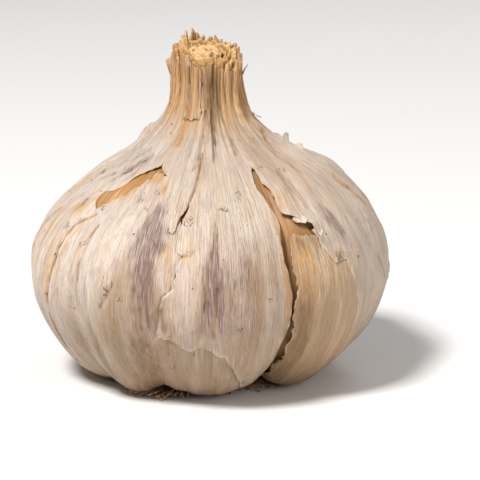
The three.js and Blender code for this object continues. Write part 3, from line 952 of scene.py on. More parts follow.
def along_edge(edge: Pairs, t: Array) -> tuple[Array, Array]:
    """Follow a broken line of (bearing, station) points, 14 degrees counted as long as a station.

    Args:
        edge: its points.
        t: shares of its length.

    Returns:
        Bearings and stations.
    """
    points = np.array(edge, float)
    steps = np.hypot(*(np.diff(points, axis=0) * (STATIONS_A_DEGREE, 1)).T)
    lengths = np.concatenate([[0], np.cumsum(steps)])
    wanted = np.clip(t, 0, 1) * lengths[-1]
    return np.interp(wanted, lengths, points[:, 0]), np.interp(wanted, lengths, points[:, 1])


@dataclass
class WrapperLeaf:
    """A thin torn leaf that lies on the bulb.

    Its points fill the space between four edges: both straight blends between opposite edges, less
    the blend of the four corners.

    Attributes:
        pattern: its outline.
        form: the bulb it lies on.
        thickness: millimetres, on the bulb.
        neck_thickness: millimetres, where it is gathered into the neck.
    """

    pattern: LeafPattern
    form: BulbForm = FORM
    thickness: float = 0.16
    neck_thickness: float = 0.5

    def blend(self, u: Array, v: Array) -> tuple[Array, Array]:
        """Place points between the four smooth edges: both straight blends less that of the corners.

        Args:
            u: shares across.
            v: shares up.

        Returns:
            Bearings and stations.
        """
        p = self.pattern
        foot = p.foot or (p.left[0], p.right[0])
        top = p.top or (p.left[-1], p.right[-1])
        left, right = along_edge(p.left, v), along_edge(p.right, v)
        low, high = along_edge(foot, u), along_edge(top, u)
        corners = (p.left[0], p.right[0], p.left[-1], p.right[-1])
        placed = []
        for part in (0, 1):
            sides = (1 - u) * left[part] + u * right[part] + (1 - v) * low[part] + v * high[part]
            a, b, c, d = (corner[part] for corner in corners)
            both = (1 - v) * ((1 - u) * a + u * b) + v * ((1 - u) * c + u * d)
            placed.append(sides - both)
        return placed[0], placed[1]

    def place(self, u: Array, v: Array) -> tuple[Array, Array]:
        """Place points of the leaf: the smooth blend, its edges moved by tears and tucks, whose
        offsets fade as (1 - share)^4 and (1 - share)^2 inwards.

        Args:
            u: shares across.
            v: shares up.

        Returns:
            Bearings and stations.
        """
        p = self.pattern
        bearing, station = self.blend(u, v)
        ends = np.sin(np.pi * np.clip(v, 0, 1)) ** 0.3
        degrees = np.degrees(1 / np.maximum(self.form.spine(station)[..., 0], 5.0))
        for number, (edge, share, run, sign) in enumerate((
            (Edge.LEFT, u, v * SIDE_LENGTH, -1), (Edge.RIGHT, 1 - u, v * SIDE_LENGTH, 1),
            (Edge.FOOT, v, u * END_LENGTH, -1), (Edge.TOP, 1 - v, u * END_LENGTH, 1),
        )):
            side = edge in (Edge.LEFT, Edge.RIGHT)
            if edge is Edge.TOP and p.top is None:
                continue
            waves = SIDE_WAVES if side else TORN_WAVES
            tear = p.torn.get(edge, 1.0) * torn_line(run, p.seed * 10 + number, waves) * (1 - share) ** 4
            tuck = 0.0
            if edge in p.tucks:
                tuck = p.tucks[edge].reach * p.tucks[edge].share(station) * (1 - share) ** 2
            if side:
                bearing = bearing + sign * degrees * (ends * tear + tuck)
            else:
                station = station + sign * (tear + tuck) / STATION_LENGTH
        if p.top is None:
            near_rim = smooth(9.2, RIM, station)
            station = station + near_rim * (self.rim(bearing) - RIM)
        return bearing, station

    def rim(self, bearing: Array) -> Array:
        """Give the station of this leaf's splintered rim, with fine broken fibres on it."""
        fibres = torn_line((bearing + 400) * NECK_ARC, self.pattern.seed, RIM_WAVES, 0.75)
        return self.form.rim(bearing, self.pattern.rim_seed) + fibres

    def curl(self, u: Array, v: Array, bearing: Array, station: Array) -> Array:
        """Give how far the leaf stands off the bulb near its edges: lift * (1 - share / width)^2,
        a little uneven, less what a tucked edge sinks by.

        Args:
            u: shares across.
            v: shares up.
            bearing: degrees.
            station: stations.

        Returns:
            Millimetres outwards.
        """
        p = self.pattern
        shares = {Edge.LEFT: u, Edge.RIGHT: 1 - u, Edge.FOOT: v, Edge.TOP: 1 - v}
        uneven = 0.85 + 0.5 * CRUMPLES.at(bearing, station)
        total = np.zeros_like(u)
        for edge, share in shares.items():
            if edge in p.lifts:
                near = np.clip(1 - share / p.lifts[edge].width, 0, 1) ** 2
                total = total + p.lifts[edge].at(station) * near * uneven
            if edge in p.tucks:
                sinking = np.clip(1 - share / TUCK_WIDTH, 0, 1) ** 0.7
                total = total - p.tucks[edge].dip * p.tucks[edge].share(station) * sinking
        return total

    def edge_marks(self, u: Array, v: Array, bearing: Array, station: Array) -> tuple[Array, Array]:
        """Give how ochre the skin is close to its torn edges and how pale its very lip is, both
        exp(-distance / reach) broken up; the pale lip is partly the edge's own colour and partly painted
        highlight.

        Args:
            u: shares across.
            v: shares up.
            bearing: degrees.
            station: stations.

        Returns:
            The ochre and the pale lip, both 0 to 1.
        """
        width = np.radians(np.ptp(bearing, axis=1, keepdims=True)) * self.form.spine(station)[..., 0]
        height = STATION_LENGTH * np.ptp(station, axis=0, keepdims=True)
        sides = np.minimum(u, 1 - u) * width
        ends = v * height if self.pattern.top is None else np.minimum(v, 1 - v) * height
        nearest = np.minimum(sides, ends)
        broken = np.clip(0.6 + 0.9 * CRUMPLES.at(bearing * 1.7, station), 0, 1)
        ochre = self.pattern.stained * np.exp(-nearest / OCHRE_REACH) * broken
        spotty = np.clip(0.45 - 1.6 * CRUMPLES.at(bearing * 2.3, station * 1.7), 0, 1)
        return ochre, self.pattern.lip * np.exp(-nearest / LIP_REACH) * spotty

    def shape(self) -> Shape:
        """Work out the leaf as one closed sheet.

        Returns:
            The shape.
        """
        p = self.pattern
        edge = np.linspace(0, 1, 60)
        low, high = along_edge(p.left, edge), along_edge(p.right, edge)
        radius = self.form.spine(low[1])[..., 0]
        width = np.max(np.radians(np.abs(high[0] - low[0])) * radius)
        stations = max(low[1].max(), high[1].max()) - min(low[1].min(), high[1].min())
        columns = int(width / p.cell) + 6
        rows = int(STATION_LENGTH * stations / (1.8 * p.cell)) + 8
        v, u = np.meshgrid(np.linspace(0, 1, rows), np.linspace(0, 1, columns), indexing="ij")
        bearing, station = self.place(u, v)
        out = p.raised + self.form.neck_folds(bearing, station) + self.form.lean(bearing, station)
        out = out + paper_relief(bearing, station) + self.curl(u, v, bearing, station)
        neck = smooth(8.6, 10.2, station)
        thickness = self.thickness + (self.neck_thickness - self.thickness) * neck
        outer = self.form.point(bearing, station, out, Drape.OUTER, 0.02)
        inner = self.form.point(bearing, station, out - thickness, Drape.OUTER, 0.12)
        marks = skin_marks(bearing, station)
        ochre, marks["lip"] = self.edge_marks(u, v, bearing, station)
        marks["ochre"] = np.minimum(marks["ochre"] + ochre, 1)
        return closed_sheet(outer, inner, self.form.fibres(bearing, station), marks)


LEAVES = (
    LeafPattern(
        name="front_leaf", node="front_wrapper",
        left=(
            (-16, 3.95), (-15, 4.24), (-14.8, 4.5), (-14.2, 4.67), (-13, 4.78), (-11.6, 4.91),
            (-10.8, 5.09), (-10.2, 5.3), (-8.6, 5.55), (-7.6, 5.65), (-10.2, 5.76), (-10.4, 6.05),
            (-10.2, 6.26), (-9.4, 6.4), (-8.2, 6.6), (-7, 6.88), (-5.4, 7.2), (-4.9, 7.4), (-3.7, 7.65),
            (-3.6, 8.3), (-6, 9), (-9, 9.5), (-9, RIM),
        ),
        right=(
            (24, FOOT), (25, 2.2), (26, 3.5), (28, 3.95), (28.7, 4.6), (27.6, 5.2), (26.8, 5.45),
            (27, 5.87), (27.8, 6.1), (28.6, 6.33), (28.8, 6.5), (28.2, 6.66), (27.2, 6.84), (25.8, 7.02),
            (24.6, 7.19), (25, 7.44), (26, 7.7), (28.6, 8.1), (29, 9), (29, RIM),
        ),
        foot=(
            (-16, 3.95), (-10, 3.75), (0, 3.68), (4, 3.5), (9, 3.2), (14, 2.4), (19, 1.4), (24, FOOT),
        ),
        lifts={Edge.LEFT: Lift(0.2, 6.1, 8.0), Edge.FOOT: Lift(0.3)},
        tucks={Edge.RIGHT: Tuck(1.3, low=7.6)},
        torn={Edge.RIGHT: 0.6, Edge.FOOT: 1.5}, stained=0.7, seed=1, rim_seed=1,
    ),
    LeafPattern(
        name="front_strip_leaf", node="front_strip_wrapper",
        left=(
            (-14.6, 6.28), (-15.4, 6.5), (-16.4, 6.8), (-17.6, 7.05), (-20, 7.28), (-22.8, 7.47),
            (-27, 7.66), (-27.4, 7.84), (-26.2, 8.04), (-25.4, 8.3), (-25.6, 8.52), (-29.5, 9.2),
        ),
        right=(
            (-11.4, 6.2), (-11, 6.4), (-9.8, 6.61), (-8.6, 6.89), (-7, 7.21), (-6.2, 7.4),
            (-5, 7.65), (-5.7, 8.3), (-8.4, 9), (-12.4, 9.2),
        ),
        foot=((-14.6, 6.28), (-13, 6.14), (-11.4, 6.2)),
        top=((-29.5, 9.2), (-21, 9.12), (-12.4, 9.2)),
        tucks={
            Edge.TOP: Tuck(2.0), Edge.RIGHT: Tuck(0.9, 0.22, low=6.75), Edge.LEFT: Tuck(1.4, 0.25, low=7.7),
        },
        lifts={Edge.FOOT: Lift(0.1)}, torn={Edge.RIGHT: 0.5, Edge.FOOT: 0.5}, stained=0.5, seed=9,
        raised=0.1,
    ),
    LeafPattern(
        name="neck_strip_leaf", node="neck_strip",
        left=((-29.8, 9.36), (-29.8, 10), (-29.8, RIM)),
        right=((-12.6, 9.34), (-12.6, 10), (-12.6, RIM)),
        foot=((-29.8, 9.36), (-25, 9.22), (-20, 9.3), (-16, 9.26), (-12.6, 9.34)),
        lifts={Edge.FOOT: Lift(0.1)}, tucks={Edge.RIGHT: Tuck(0.3, 0.1), Edge.LEFT: Tuck(0.3, 0.1)},
        torn={Edge.LEFT: 0.3, Edge.RIGHT: 0.3}, stained=0.5, seed=10, cell=0.14, rim_seed=10, raised=0.08,
    ),
    LeafPattern(
        name="front_base_leaf", node="front_base_wrapper",
        left=((-25, FOOT), (-23, 2), (-21, 3), (-19.5, 3.6)),
        right=((19, FOOT), (18.4, 0.95), (18, 1.1), (17.4, 1.25)),
        top=((-19.5, 3.6), (-10, 3.6), (0, 3.53), (3.8, 3.36), (8.2, 3.05), (12.8, 2.25), (17.4, 1.25)),
        tucks={Edge.TOP: Tuck(2.0), Edge.RIGHT: Tuck(2.0), Edge.LEFT: Tuck(1.5)},
        stained=0.2, slot=Slot.UNDER_WRAPPER, seed=2,
    ),
    LeafPattern(
        name="left_front_leaf", node="left_front_wrapper",
        left=(
            (-63, FOOT), (-63.5, 2.5), (-62, 3.5), (-59.5, 4), (-57.5, 4.5), (-56.2, 5),
            (-55.8, 5.4), (-55, 5.7), (-52.4, 6.05),
        ),
        right=(
            (-27, FOOT), (-25, 2), (-22.8, 3), (-16, 3.9), (-14.4, 4.6), (-12.4, 4.9), (-10.4, 5.3),
            (-7.6, 5.62), (-10, 5.78), (-10.2, 6.05), (-10.6, 6.25), (-12.4, 6.6), (-14, 7.0), (-17, 7.36),
        ),
        top=(
            (-52.4, 6.05), (-50, 6.28), (-48.6, 6.44), (-47.4, 6.6), (-45, 6.76), (-42, 6.9),
            (-38.4, 7.06), (-35.2, 7.25), (-32, 7.42), (-29, 7.58), (-25.6, 7.6), (-22, 7.52), (-17, 7.36),
        ),
        lifts={Edge.TOP: Lift(0.12)}, tucks={Edge.RIGHT: Tuck(0.8), Edge.LEFT: Tuck(2.5)},
        stained=0.7, seed=3,
    ),
    LeafPattern(
        name="left_shoulder_leaf", node="left_shoulder_wrapper",
        left=((-104, FOOT), (-103, 4), (-100, 7), (-104, 9), (-108, RIM)),
        right=(
            (-65.5, FOOT), (-65.5, 2.5), (-64, 3.5), (-61.3, 4), (-59.6, 4.5), (-58.6, 5),
            (-58.4, 5.52), (-58.2, 5.74), (-56, 6.04), (-53.2, 6.19), (-50.2, 6.37), (-51.6, 6.48),
            (-56.2, 6.7), (-57.2, 6.82), (-56, 6.94), (-50.4, 7.07), (-48.8, 7.16), (-47.2, 7.31),
            (-46, 7.47), (-43.5, 7.58), (-37.2, 7.66), (-32, 7.7), (-29.2, 7.76), (-28.4, 7.92),
            (-27, 8.14), (-26.4, 8.4), (-27.4, 8.84), (-30.8, 9.25), (-33.2, RIM),
        ),
        lifts={Edge.RIGHT: Lift(0.05), Edge.LEFT: Lift(0.7, 8.35, 8.45, 0.04)},
        tucks={Edge.LEFT: Tuck(1.0, 0.1)}, torn={Edge.RIGHT: 0.45}, stained=0.8, seed=4, rim_seed=4,
    ),
    LeafPattern(
        name="right_shoulder_leaf", node="right_shoulder_wrapper",
        left=(
            (56, FOOT), (55, 2.5), (54, 4), (51, 4.9), (49, 5.2), (47, 5.5), (44, 5.2), (41, 5.6),
            (40.5, 6.15), (35.5, 6.38), (30.3, 6.62), (31, 7.05), (29.2, 7.35), (30.6, 8),
            (32.2, 9), (32.4, RIM),
        ),
        right=(
            (99, FOOT), (98, 3), (93, 5), (87, 6), (82, 6.6), (80, 7), (79, 8), (81, 9), (85.5, 10),
            (87, RIM),
        ),
        lifts={Edge.LEFT: Lift(0.45, 5.2, 7.0), Edge.RIGHT: Lift(1.1, 7.95, 8.1, 0.06)},
        torn={Edge.LEFT: 1.4, Edge.RIGHT: 1.6}, stained=0.55, seed=5, rim_seed=5,
    ),
    LeafPattern(
        name="right_inner_leaf", node="right_inner_wrapper",
        left=(
            (29, FOOT), (29, 2.5), (29.4, 3.5), (30.2, 4.1), (31.2, 4.7), (30.8, 5.1), (30, 5.33),
            (30.2, 5.46), (30.8, 5.56), (30.4, 5.8), (30.6, 5.96), (31.4, 6.06),
        ),
        right=(
            (54.2, FOOT), (53.4, 2.5), (52.4, 4), (50.4, 4.8), (47.6, 5.1), (44, 5.2), (41.6, 5.4),
            (39.6, 5.66),
        ),
        top=((31.4, 6.06), (33.6, 5.98), (36.2, 5.94), (39.6, 5.66)),
        lifts={Edge.LEFT: Lift(0.3, 2.5, 6.0), Edge.TOP: Lift(0.15)}, tucks={Edge.RIGHT: Tuck(3.0)},
        torn={Edge.LEFT: 2.0, Edge.TOP: 0.8}, stained=0.8, slot=Slot.UNDER_WRAPPER, seed=6, lip=0.35,
    ),
    LeafPattern(
        name="back_right_leaf", node="back_right_wrapper",
        left=(
            (100.6, FOOT), (99.6, 3), (94.6, 5), (88.6, 6), (83.6, 6.6), (81.6, 7), (80.8, 8),
            (83, 9), (88.8, 10), (90.4, RIM),
        ),
        right=((184, FOOT), (186, 3), (184, 4.5), (176, 6), (178, 7), (184, 7.8), (180.6, 9), (181, RIM)),
        lifts={Edge.RIGHT: Lift(0.5, 3.0, 8.0)}, tucks={Edge.LEFT: Tuck(1.5)},
        torn={Edge.RIGHT: 1.3}, stained=0.7, seed=7, cell=0.33, rim_seed=7,
    ),
    LeafPattern(
        name="back_left_leaf", node="back_left_wrapper",
        left=(
            (185.6, FOOT), (187.6, 3), (185.8, 4.5), (184.6, 6), (186, 7), (186.4, 7.8), (183.4, 9),
            (184.4, RIM),
        ),
        right=((254.4, FOOT), (255.4, 4), (258.2, 7), (253.4, 9), (248.8, RIM)),
        lifts={Edge.LEFT: Lift(0.1)}, stained=0.6, seed=8, cell=0.33, rim_seed=8,
    ),
)


@dataclass(frozen=True)
class Flake:
    """A small torn strip of leaf that curls off the bulb.

    Attributes:
        bearing: where it's attached, degrees.
        station: where it's attached, stations.
        heading: its direction on the skin, degrees from the neck's, clockwise seen from outside.
        length: millimetres.
        width: millimetres.
        curl: radians that it bends by from root to tip.
        start: radians that it leaves the skin at.
    """

    bearing: float
    station: float
    heading: float
    length: float
    width: float
    curl: float
    start: float = 0.2


FLAKES = (
    Flake(86, 9.25, 184, 1.8, 1.4, 0.2, 0.25), Flake(76, 8.05, 60, 1.9, 1.5, 0.4, 0.55),
    Flake(78, 7.75, 88, 1.3, 1.3, 0.4, 0.45), Flake(-78, 8.72, 290, 1.6, 1.5, 0.5, 0.5),
    Flake(82, 10.35, 0, 2.0, 1.0, 0.2, 0.3),
    Flake(36, 6.42, 140, 1.8, 1.6, 0.3, 0.05), Flake(42, 6.05, 165, 1.6, 1.6, 0.3, 0.05),
    Flake(150, 8.2, 160, 2.8, 1.8, 0.3), Flake(185, 7.4, 160, 3.0, 2.0, 0.3),
    Flake(182, 6.2, 200, 2.6, 1.6, 0.3), Flake(230, 8.3, 190, 2.8, 1.8, 0.3),
)


@dataclass
class TornFlakes:
    """The small torn strips that stand off the leaves.

    Attributes:
        flakes: one entry each.
        thickness: millimetres.
        form: the bulb that they stand on.
    """

    flakes: Sequence[Flake] = FLAKES
    thickness: float = 0.16
    form: BulbForm = FORM

    def strip(self, flake: Flake, number: int) -> Shape:
        """Build one strip along an arc that leaves the skin.

        After a share v of its length L it has gone forward by L (sin(s + c v) - sin s) / c and out
        by L (cos s - cos(s + c v)) / c, with start s and curl c, and it narrows as 1 - v^3 / 2.

        Args:
            flake: its measures.
            number: seed of its tears.

        Returns:
            The shape.
        """
        v, u = np.meshgrid(np.linspace(0, 1, 26), np.linspace(-1, 1, 14), indexing="ij")
        forward = flake.length * (np.sin(flake.start + flake.curl * v) - np.sin(flake.start)) / flake.curl
        outwards = flake.length * (np.cos(flake.start) - np.cos(flake.start + flake.curl * v)) / flake.curl
        ragged = torn_line(v * flake.length + 20 * (u > 0), 300 + number, ((0.8, 0.3), (0.25, 0.25)))
        across = u * (0.5 * flake.width * (1 - 0.5 * v**3) + ragged * v * (1 - v))
        forward = forward + torn_line(u + 1, 400 + number, ((0.4, 0.3), (0.15, 0.15))) * v**3
        heading = np.radians(flake.heading)
        sideways = across * np.cos(heading) + forward * np.sin(heading)
        upwards = forward * np.cos(heading) - across * np.sin(heading)
        radius = self.form.spine(np.array(flake.station))[0]
        bearing = flake.bearing + np.degrees(sideways / radius)
        station = flake.station + upwards / STATION_LENGTH
        out = 0.1 + outwards + self.form.neck_folds(bearing, station)
        outer = self.form.point(bearing, station, out, Drape.OUTER, 0.1)
        inner = self.form.point(bearing, station, out - self.thickness, Drape.OUTER, 0.1)
        marks = skin_marks(bearing, station)
        marks["ochre"] = np.clip(marks["ochre"] + 0.15 * v, 0, 1)
        # Painted highlight: the whole strip is paled, most towards its tip.
        marks["lip"] = 0.35 + 0.5 * v * v
        return closed_sheet(outer, inner, self.form.fibres(bearing, station), marks)

    def shape(self) -> Shape:
        """Put all strips together."""
        return Shape.joined([self.strip(flake, number) for number, flake in enumerate(self.flakes)])


def ring_points(bearing: Array, radius: Array, z: Array, x: float = 0.0) -> Array:
    """Give points on circles round the axis, or round an axis moved along X.

    Args:
        bearing: degrees.
        radius: millimetres.
        z: heights in millimetres.
        x: where the circles' middle is.

    Returns:
        x, y, z, in the last axis.
    """
    bearing, radius, z = np.broadcast_arrays(bearing, radius, z)
    angle = np.radians(bearing)
    return np.stack([x + radius * np.sin(angle), -radius * np.cos(angle), z], axis=-1)


def closed_rings(
    rings: Array, first: Array, last: Array, fibres: Array, marks: Mapping[str, Array]
) -> Shape:
    """Join rings of points into one closed body, with a fan onto a point at each end.

    Args:
        rings: points, rings by columns.
        first: the point that closes the first ring.
        last: the point that closes the last.
        fibres: the grain's place at each point.
        marks: values at each point, by name.

    Returns:
        The shape.
    """
    count, columns = rings.shape[:2]
    body = count * columns
    around = np.arange(columns)
    beside = (around + 1) % columns
    start = np.stack([np.full(columns, body), beside, around], axis=-1)
    top = (count - 1) * columns
    end = np.stack([np.full(columns, body + 1), top + around, top + beside], axis=-1)
    both_ends = (fibres[0].mean(axis=0), fibres[-1].mean(axis=0))
    return Shape(
        points=np.concatenate([rings.reshape(-1, 3), [first, last]]),
        quads=grid_quads(count, columns, wrapped=True),
        triangles=np.concatenate([start, end]),
        fibres=np.concatenate([fibres.reshape(-1, 3), both_ends]),
        marks={
            name: np.concatenate([values.ravel(), [values[0].mean(), values[-1].mean()]])
            for name, values in marks.items()
        },
    )


SHEATH_ARC = 0.07  # millimetres in one degree round a sheath
# The section of a sheath of the neck, from its outer foot over its top to its inner foot: share of
# half its thickness, millimetres below its top or nothing at its foot, and how dark it is painted as shade in
# the recesses, 0 to 1.
SHEATH_SECTION = (
    (1.0, None, 1.0), (1.0, 0.35, 0.5), (0.3, 0.0, 0.0), (-0.3, 0.05, 0.0), (-1.0, 0.4, 0.6),
    (-1.0, None, 1.0),
)


@dataclass
class InnerSkin:
    """The cloves in their tan inner skin, and the sheaths that it forms in the neck.

    Attributes:
        depth: millimetres under the wrapper leaves.
        neck_slack: millimetres more, in the neck.
        stalk_x: where the stalk stands.
        socket_radius: the hole in the neck's middle, for the stalk.
        socket_floor: height of that hole's floor.
        hollow: height of the hollow over the root plate.
        columns: vertices round it.
        rows: rings along it.
        fillings: where it lies closer under the leaves.
        sheaths: radius, height of the top at the side, and seed of each sheath in the neck.
        sheath_foot: height of their feet.
        sheath_columns: vertices round each.
    """

    depth: float = 0.5
    neck_slack: float = 0.9
    stalk_x: float = STALK_X
    socket_radius: float = 3.3
    socket_floor: float = 46.0
    hollow: float = 5.4
    columns: int = 420
    rows: int = 170
    fillings: tuple[Swelling, ...] = (
        Swelling(-44, 9, 7.1, 0.6, 0.45), Swelling(-44, 20, 7.1, 0.45, 0.22), Swelling(186, 8, 6.8, 1.2, 0.3),
        Swelling(-32, 6, 7.6, 0.3, 0.4), Swelling(-55, 5, 6.9, 0.3, 0.3),
    )
    sheaths: tuple[tuple[float, float, int], ...] = ((4.4, 53.0, 41), (3.95, 53.2, 51), (3.45, 53.5, 61))
    sheath_foot: float = 47.0
    sheath_columns: int = 260
    form: BulbForm = FORM

    def skin_rings(self) -> tuple[Array, Array, Array]:
        """Place the skin from the root's hollow to the broken rim.

        Returns:
            Points, bearings and stations, rings by columns.
        """
        share = np.linspace(0, 1, self.rows)
        bearing = np.linspace(0, 360, self.columns, endpoint=False)
        v, b = np.meshgrid(share, bearing, indexing="ij")
        jagged = torn_line(b * NECK_ARC, 77, ((1.6, 0.12), (0.7, 0.06), (0.3, 0.03)), 0.8)
        top = self.form.rim(b, 5.0) + 0.12 * np.cos(np.radians(b)) + jagged
        station = v * top
        slack = self.depth + self.neck_slack * smooth(7, 9.5, station)
        slack = slack - sum(filling.at(b, station) for filling in self.fillings)
        relief = 0.5 * paper_relief(b + 40, station)
        return self.form.point(b, station, relief - slack, Drape.INNER, 0.3), b, station

    def sheath(self, radius: float, height: float, seed: int) -> Shape:
        """Build one ragged sheath in the neck, between the skin's rim and the stalk.

        Its top follows a broken line round the axis, lower in front, and it is closed over its top.

        Args:
            radius: of its middle, in millimetres.
            height: of its top at the side, in millimetres.
            seed: seed of its tears.

        Returns:
            The shape.
        """
        bearing = np.linspace(0, 360, self.sheath_columns, endpoint=False)
        length = bearing * SHEATH_ARC
        torn = torn_line(length, seed, ((2.4, 0.65), (1.0, 0.4), (0.4, 0.12)), 0.8)
        top = height - np.cos(np.radians(bearing)) + torn
        wavy = radius + 0.13 * torn_line(length, seed + 1, ((1.6, 1.0), (0.6, 0.5)))
        half = 0.2 + 0.05 * torn_line(length, seed + 2, ((0.5, 1.0),))
        middle = self.stalk_x * (1 - (radius - self.socket_radius) / 3)
        ring = np.stack([
            ring_points(bearing, wavy + side * half, self.sheath_foot if drop is None else top - drop, middle)
            for side, drop, _ in SHEATH_SECTION
        ])
        count, columns = ring.shape[:2]
        around = np.arange(columns)
        beside = (around + 1) % columns
        low = (count - 1) * columns
        close = np.stack([low + around, low + beside, beside, around], axis=-1)
        b, station = np.broadcast_to(bearing, (count, columns)), np.full((count, columns), 10.5)
        marks = skin_marks(b, station)
        # Painted shade: the sheath is darkened towards its feet, in the recesses between sheaths.
        marks["deep"] = np.broadcast_to(np.array([[dark] for _, _, dark in SHEATH_SECTION]), b.shape)
        grain = self.form.fibres(b * 0.3, ring[..., 2] / STATION_LENGTH)
        return Shape(
            ring.reshape(-1, 3), np.concatenate([grid_quads(count, columns, wrapped=True), close]),
            fibres=grain.reshape(-1, 3), marks={name: np.ravel(values) for name, values in marks.items()},
        )

    def sheaths_shape(self) -> Shape:
        """Put all sheaths together."""
        return Shape.joined([self.sheath(*measures) for measures in self.sheaths])

    def shape(self) -> Shape:
        """Work out the skin, its rim, and the socket in its middle, as one closed body.

        Returns:
            The shape.
        """
        skin, bearing, station = self.skin_rings()
        b = bearing[0]
        rim_z = skin[-1, :, 2]
        rough = torn_line(b * 0.08, 31, ((0.8, 0.3), (0.3, 0.25)))
        edge_radius = np.hypot(skin[-1, :, 0], skin[-1, :, 1])
        over = ring_points(b, edge_radius * 0.93, rim_z - 0.1 + rough)
        lip = ring_points(b, self.socket_radius + 0.5, rim_z - 0.8 + rough, self.stalk_x * 0.8)
        mouth = ring_points(b, self.socket_radius, rim_z - 1.8, self.stalk_x)
        floor = ring_points(b, self.socket_radius, self.socket_floor, self.stalk_x)
        rings = np.concatenate([skin, over[None], lip[None], mouth[None], floor[None]])
        more = len(rings) - len(skin)
        bearings = np.concatenate([bearing, np.repeat(bearing[-1:], more, axis=0)])
        stations = np.concatenate([station, np.repeat(station[-1:], more, axis=0)])
        first = np.array([0, 0, self.hollow])
        last = np.array([self.stalk_x, 0, self.socket_floor])
        fibres = self.form.fibres(bearings, stations)
        return closed_rings(rings, first, last, fibres, skin_marks(bearings, stations))


@dataclass
class Stalk:
    """The dried stalk in the neck, its cut end rough and bevelled.

    Attributes:
        radius: millimetres.
        top: height of the cut.
        floor: height of its foot.
        x: where it stands.
        columns: vertices round it.
        waves: how many waves make the cut end rough.
        pores: how many pits it has.
    """

    radius: float = 2.9
    top: float = 54.0
    floor: float = 46.35
    x: float = STALK_X
    columns: int = 150
    waves: int = 26
    pores: int = 26

    def shape(self) -> Shape:
        """Work out the stalk: rings up its side, and shrinking rings over its cut end, whose height
        follows rough noise and falls towards the front.

        Returns:
            The shape.
        """
        bearing = np.linspace(0, 360, self.columns, endpoint=False)
        rng = np.random.default_rng(21)
        side_z = np.linspace(self.floor, self.top - 0.7, 12)
        ribs = 0.1 * torn_line(bearing * 0.05, 5, ((0.5, 1.0), (0.2, 0.7)))
        ribs = ribs * np.sin(np.radians(bearing) / 2) ** 0.5
        side = [ring_points(bearing, self.radius + ribs, z, self.x) for z in side_z]
        shares = np.linspace(0.99, 0.04, 34)
        radii, b = np.meshgrid(shares * self.radius, bearing, indexing="ij")
        across = radii * np.sin(np.radians(b))
        along = -radii * np.cos(np.radians(b))
        height = self.top + 0.12 * along - 0.5 * smooth(0.8, 1.0, radii / self.radius)
        for wave in range(self.waves):
            angle = rng.uniform(0, 0.5) if wave % 3 else rng.uniform(0, np.pi)
            pitch, phase = rng.uniform(3, 13), rng.uniform(0, 6.3)
            crossing = across * np.sin(angle) + along * np.cos(angle)
            bent = pitch * crossing + phase + 0.8 * np.sin(2.1 * across + wave)
            height = height + 0.26 / pitch * np.sin(bent)
        pits = sum(
            -0.35 * np.exp(-((across - px) ** 2 + (along - py) ** 2) / 0.05)
            for px, py in rng.uniform(-2.6, 2.6, (self.pores, 2))
        )
        cut = ring_points(b, radii + ribs * radii / self.radius, height + pits, self.x)
        rings = np.concatenate([np.array(side), cut])
        bottom = np.array([self.x, 0, self.floor])
        middle = np.array([self.x, 0, height[-1].mean()])
        # Painted shade: how far into a pit each point is, for the pith's dark pits.
        marks = {"pit_shade": np.concatenate([np.zeros((len(side), self.columns)), np.clip(-pits * 3, 0, 1)])}
        return closed_rings(rings, bottom, middle, rings, marks)


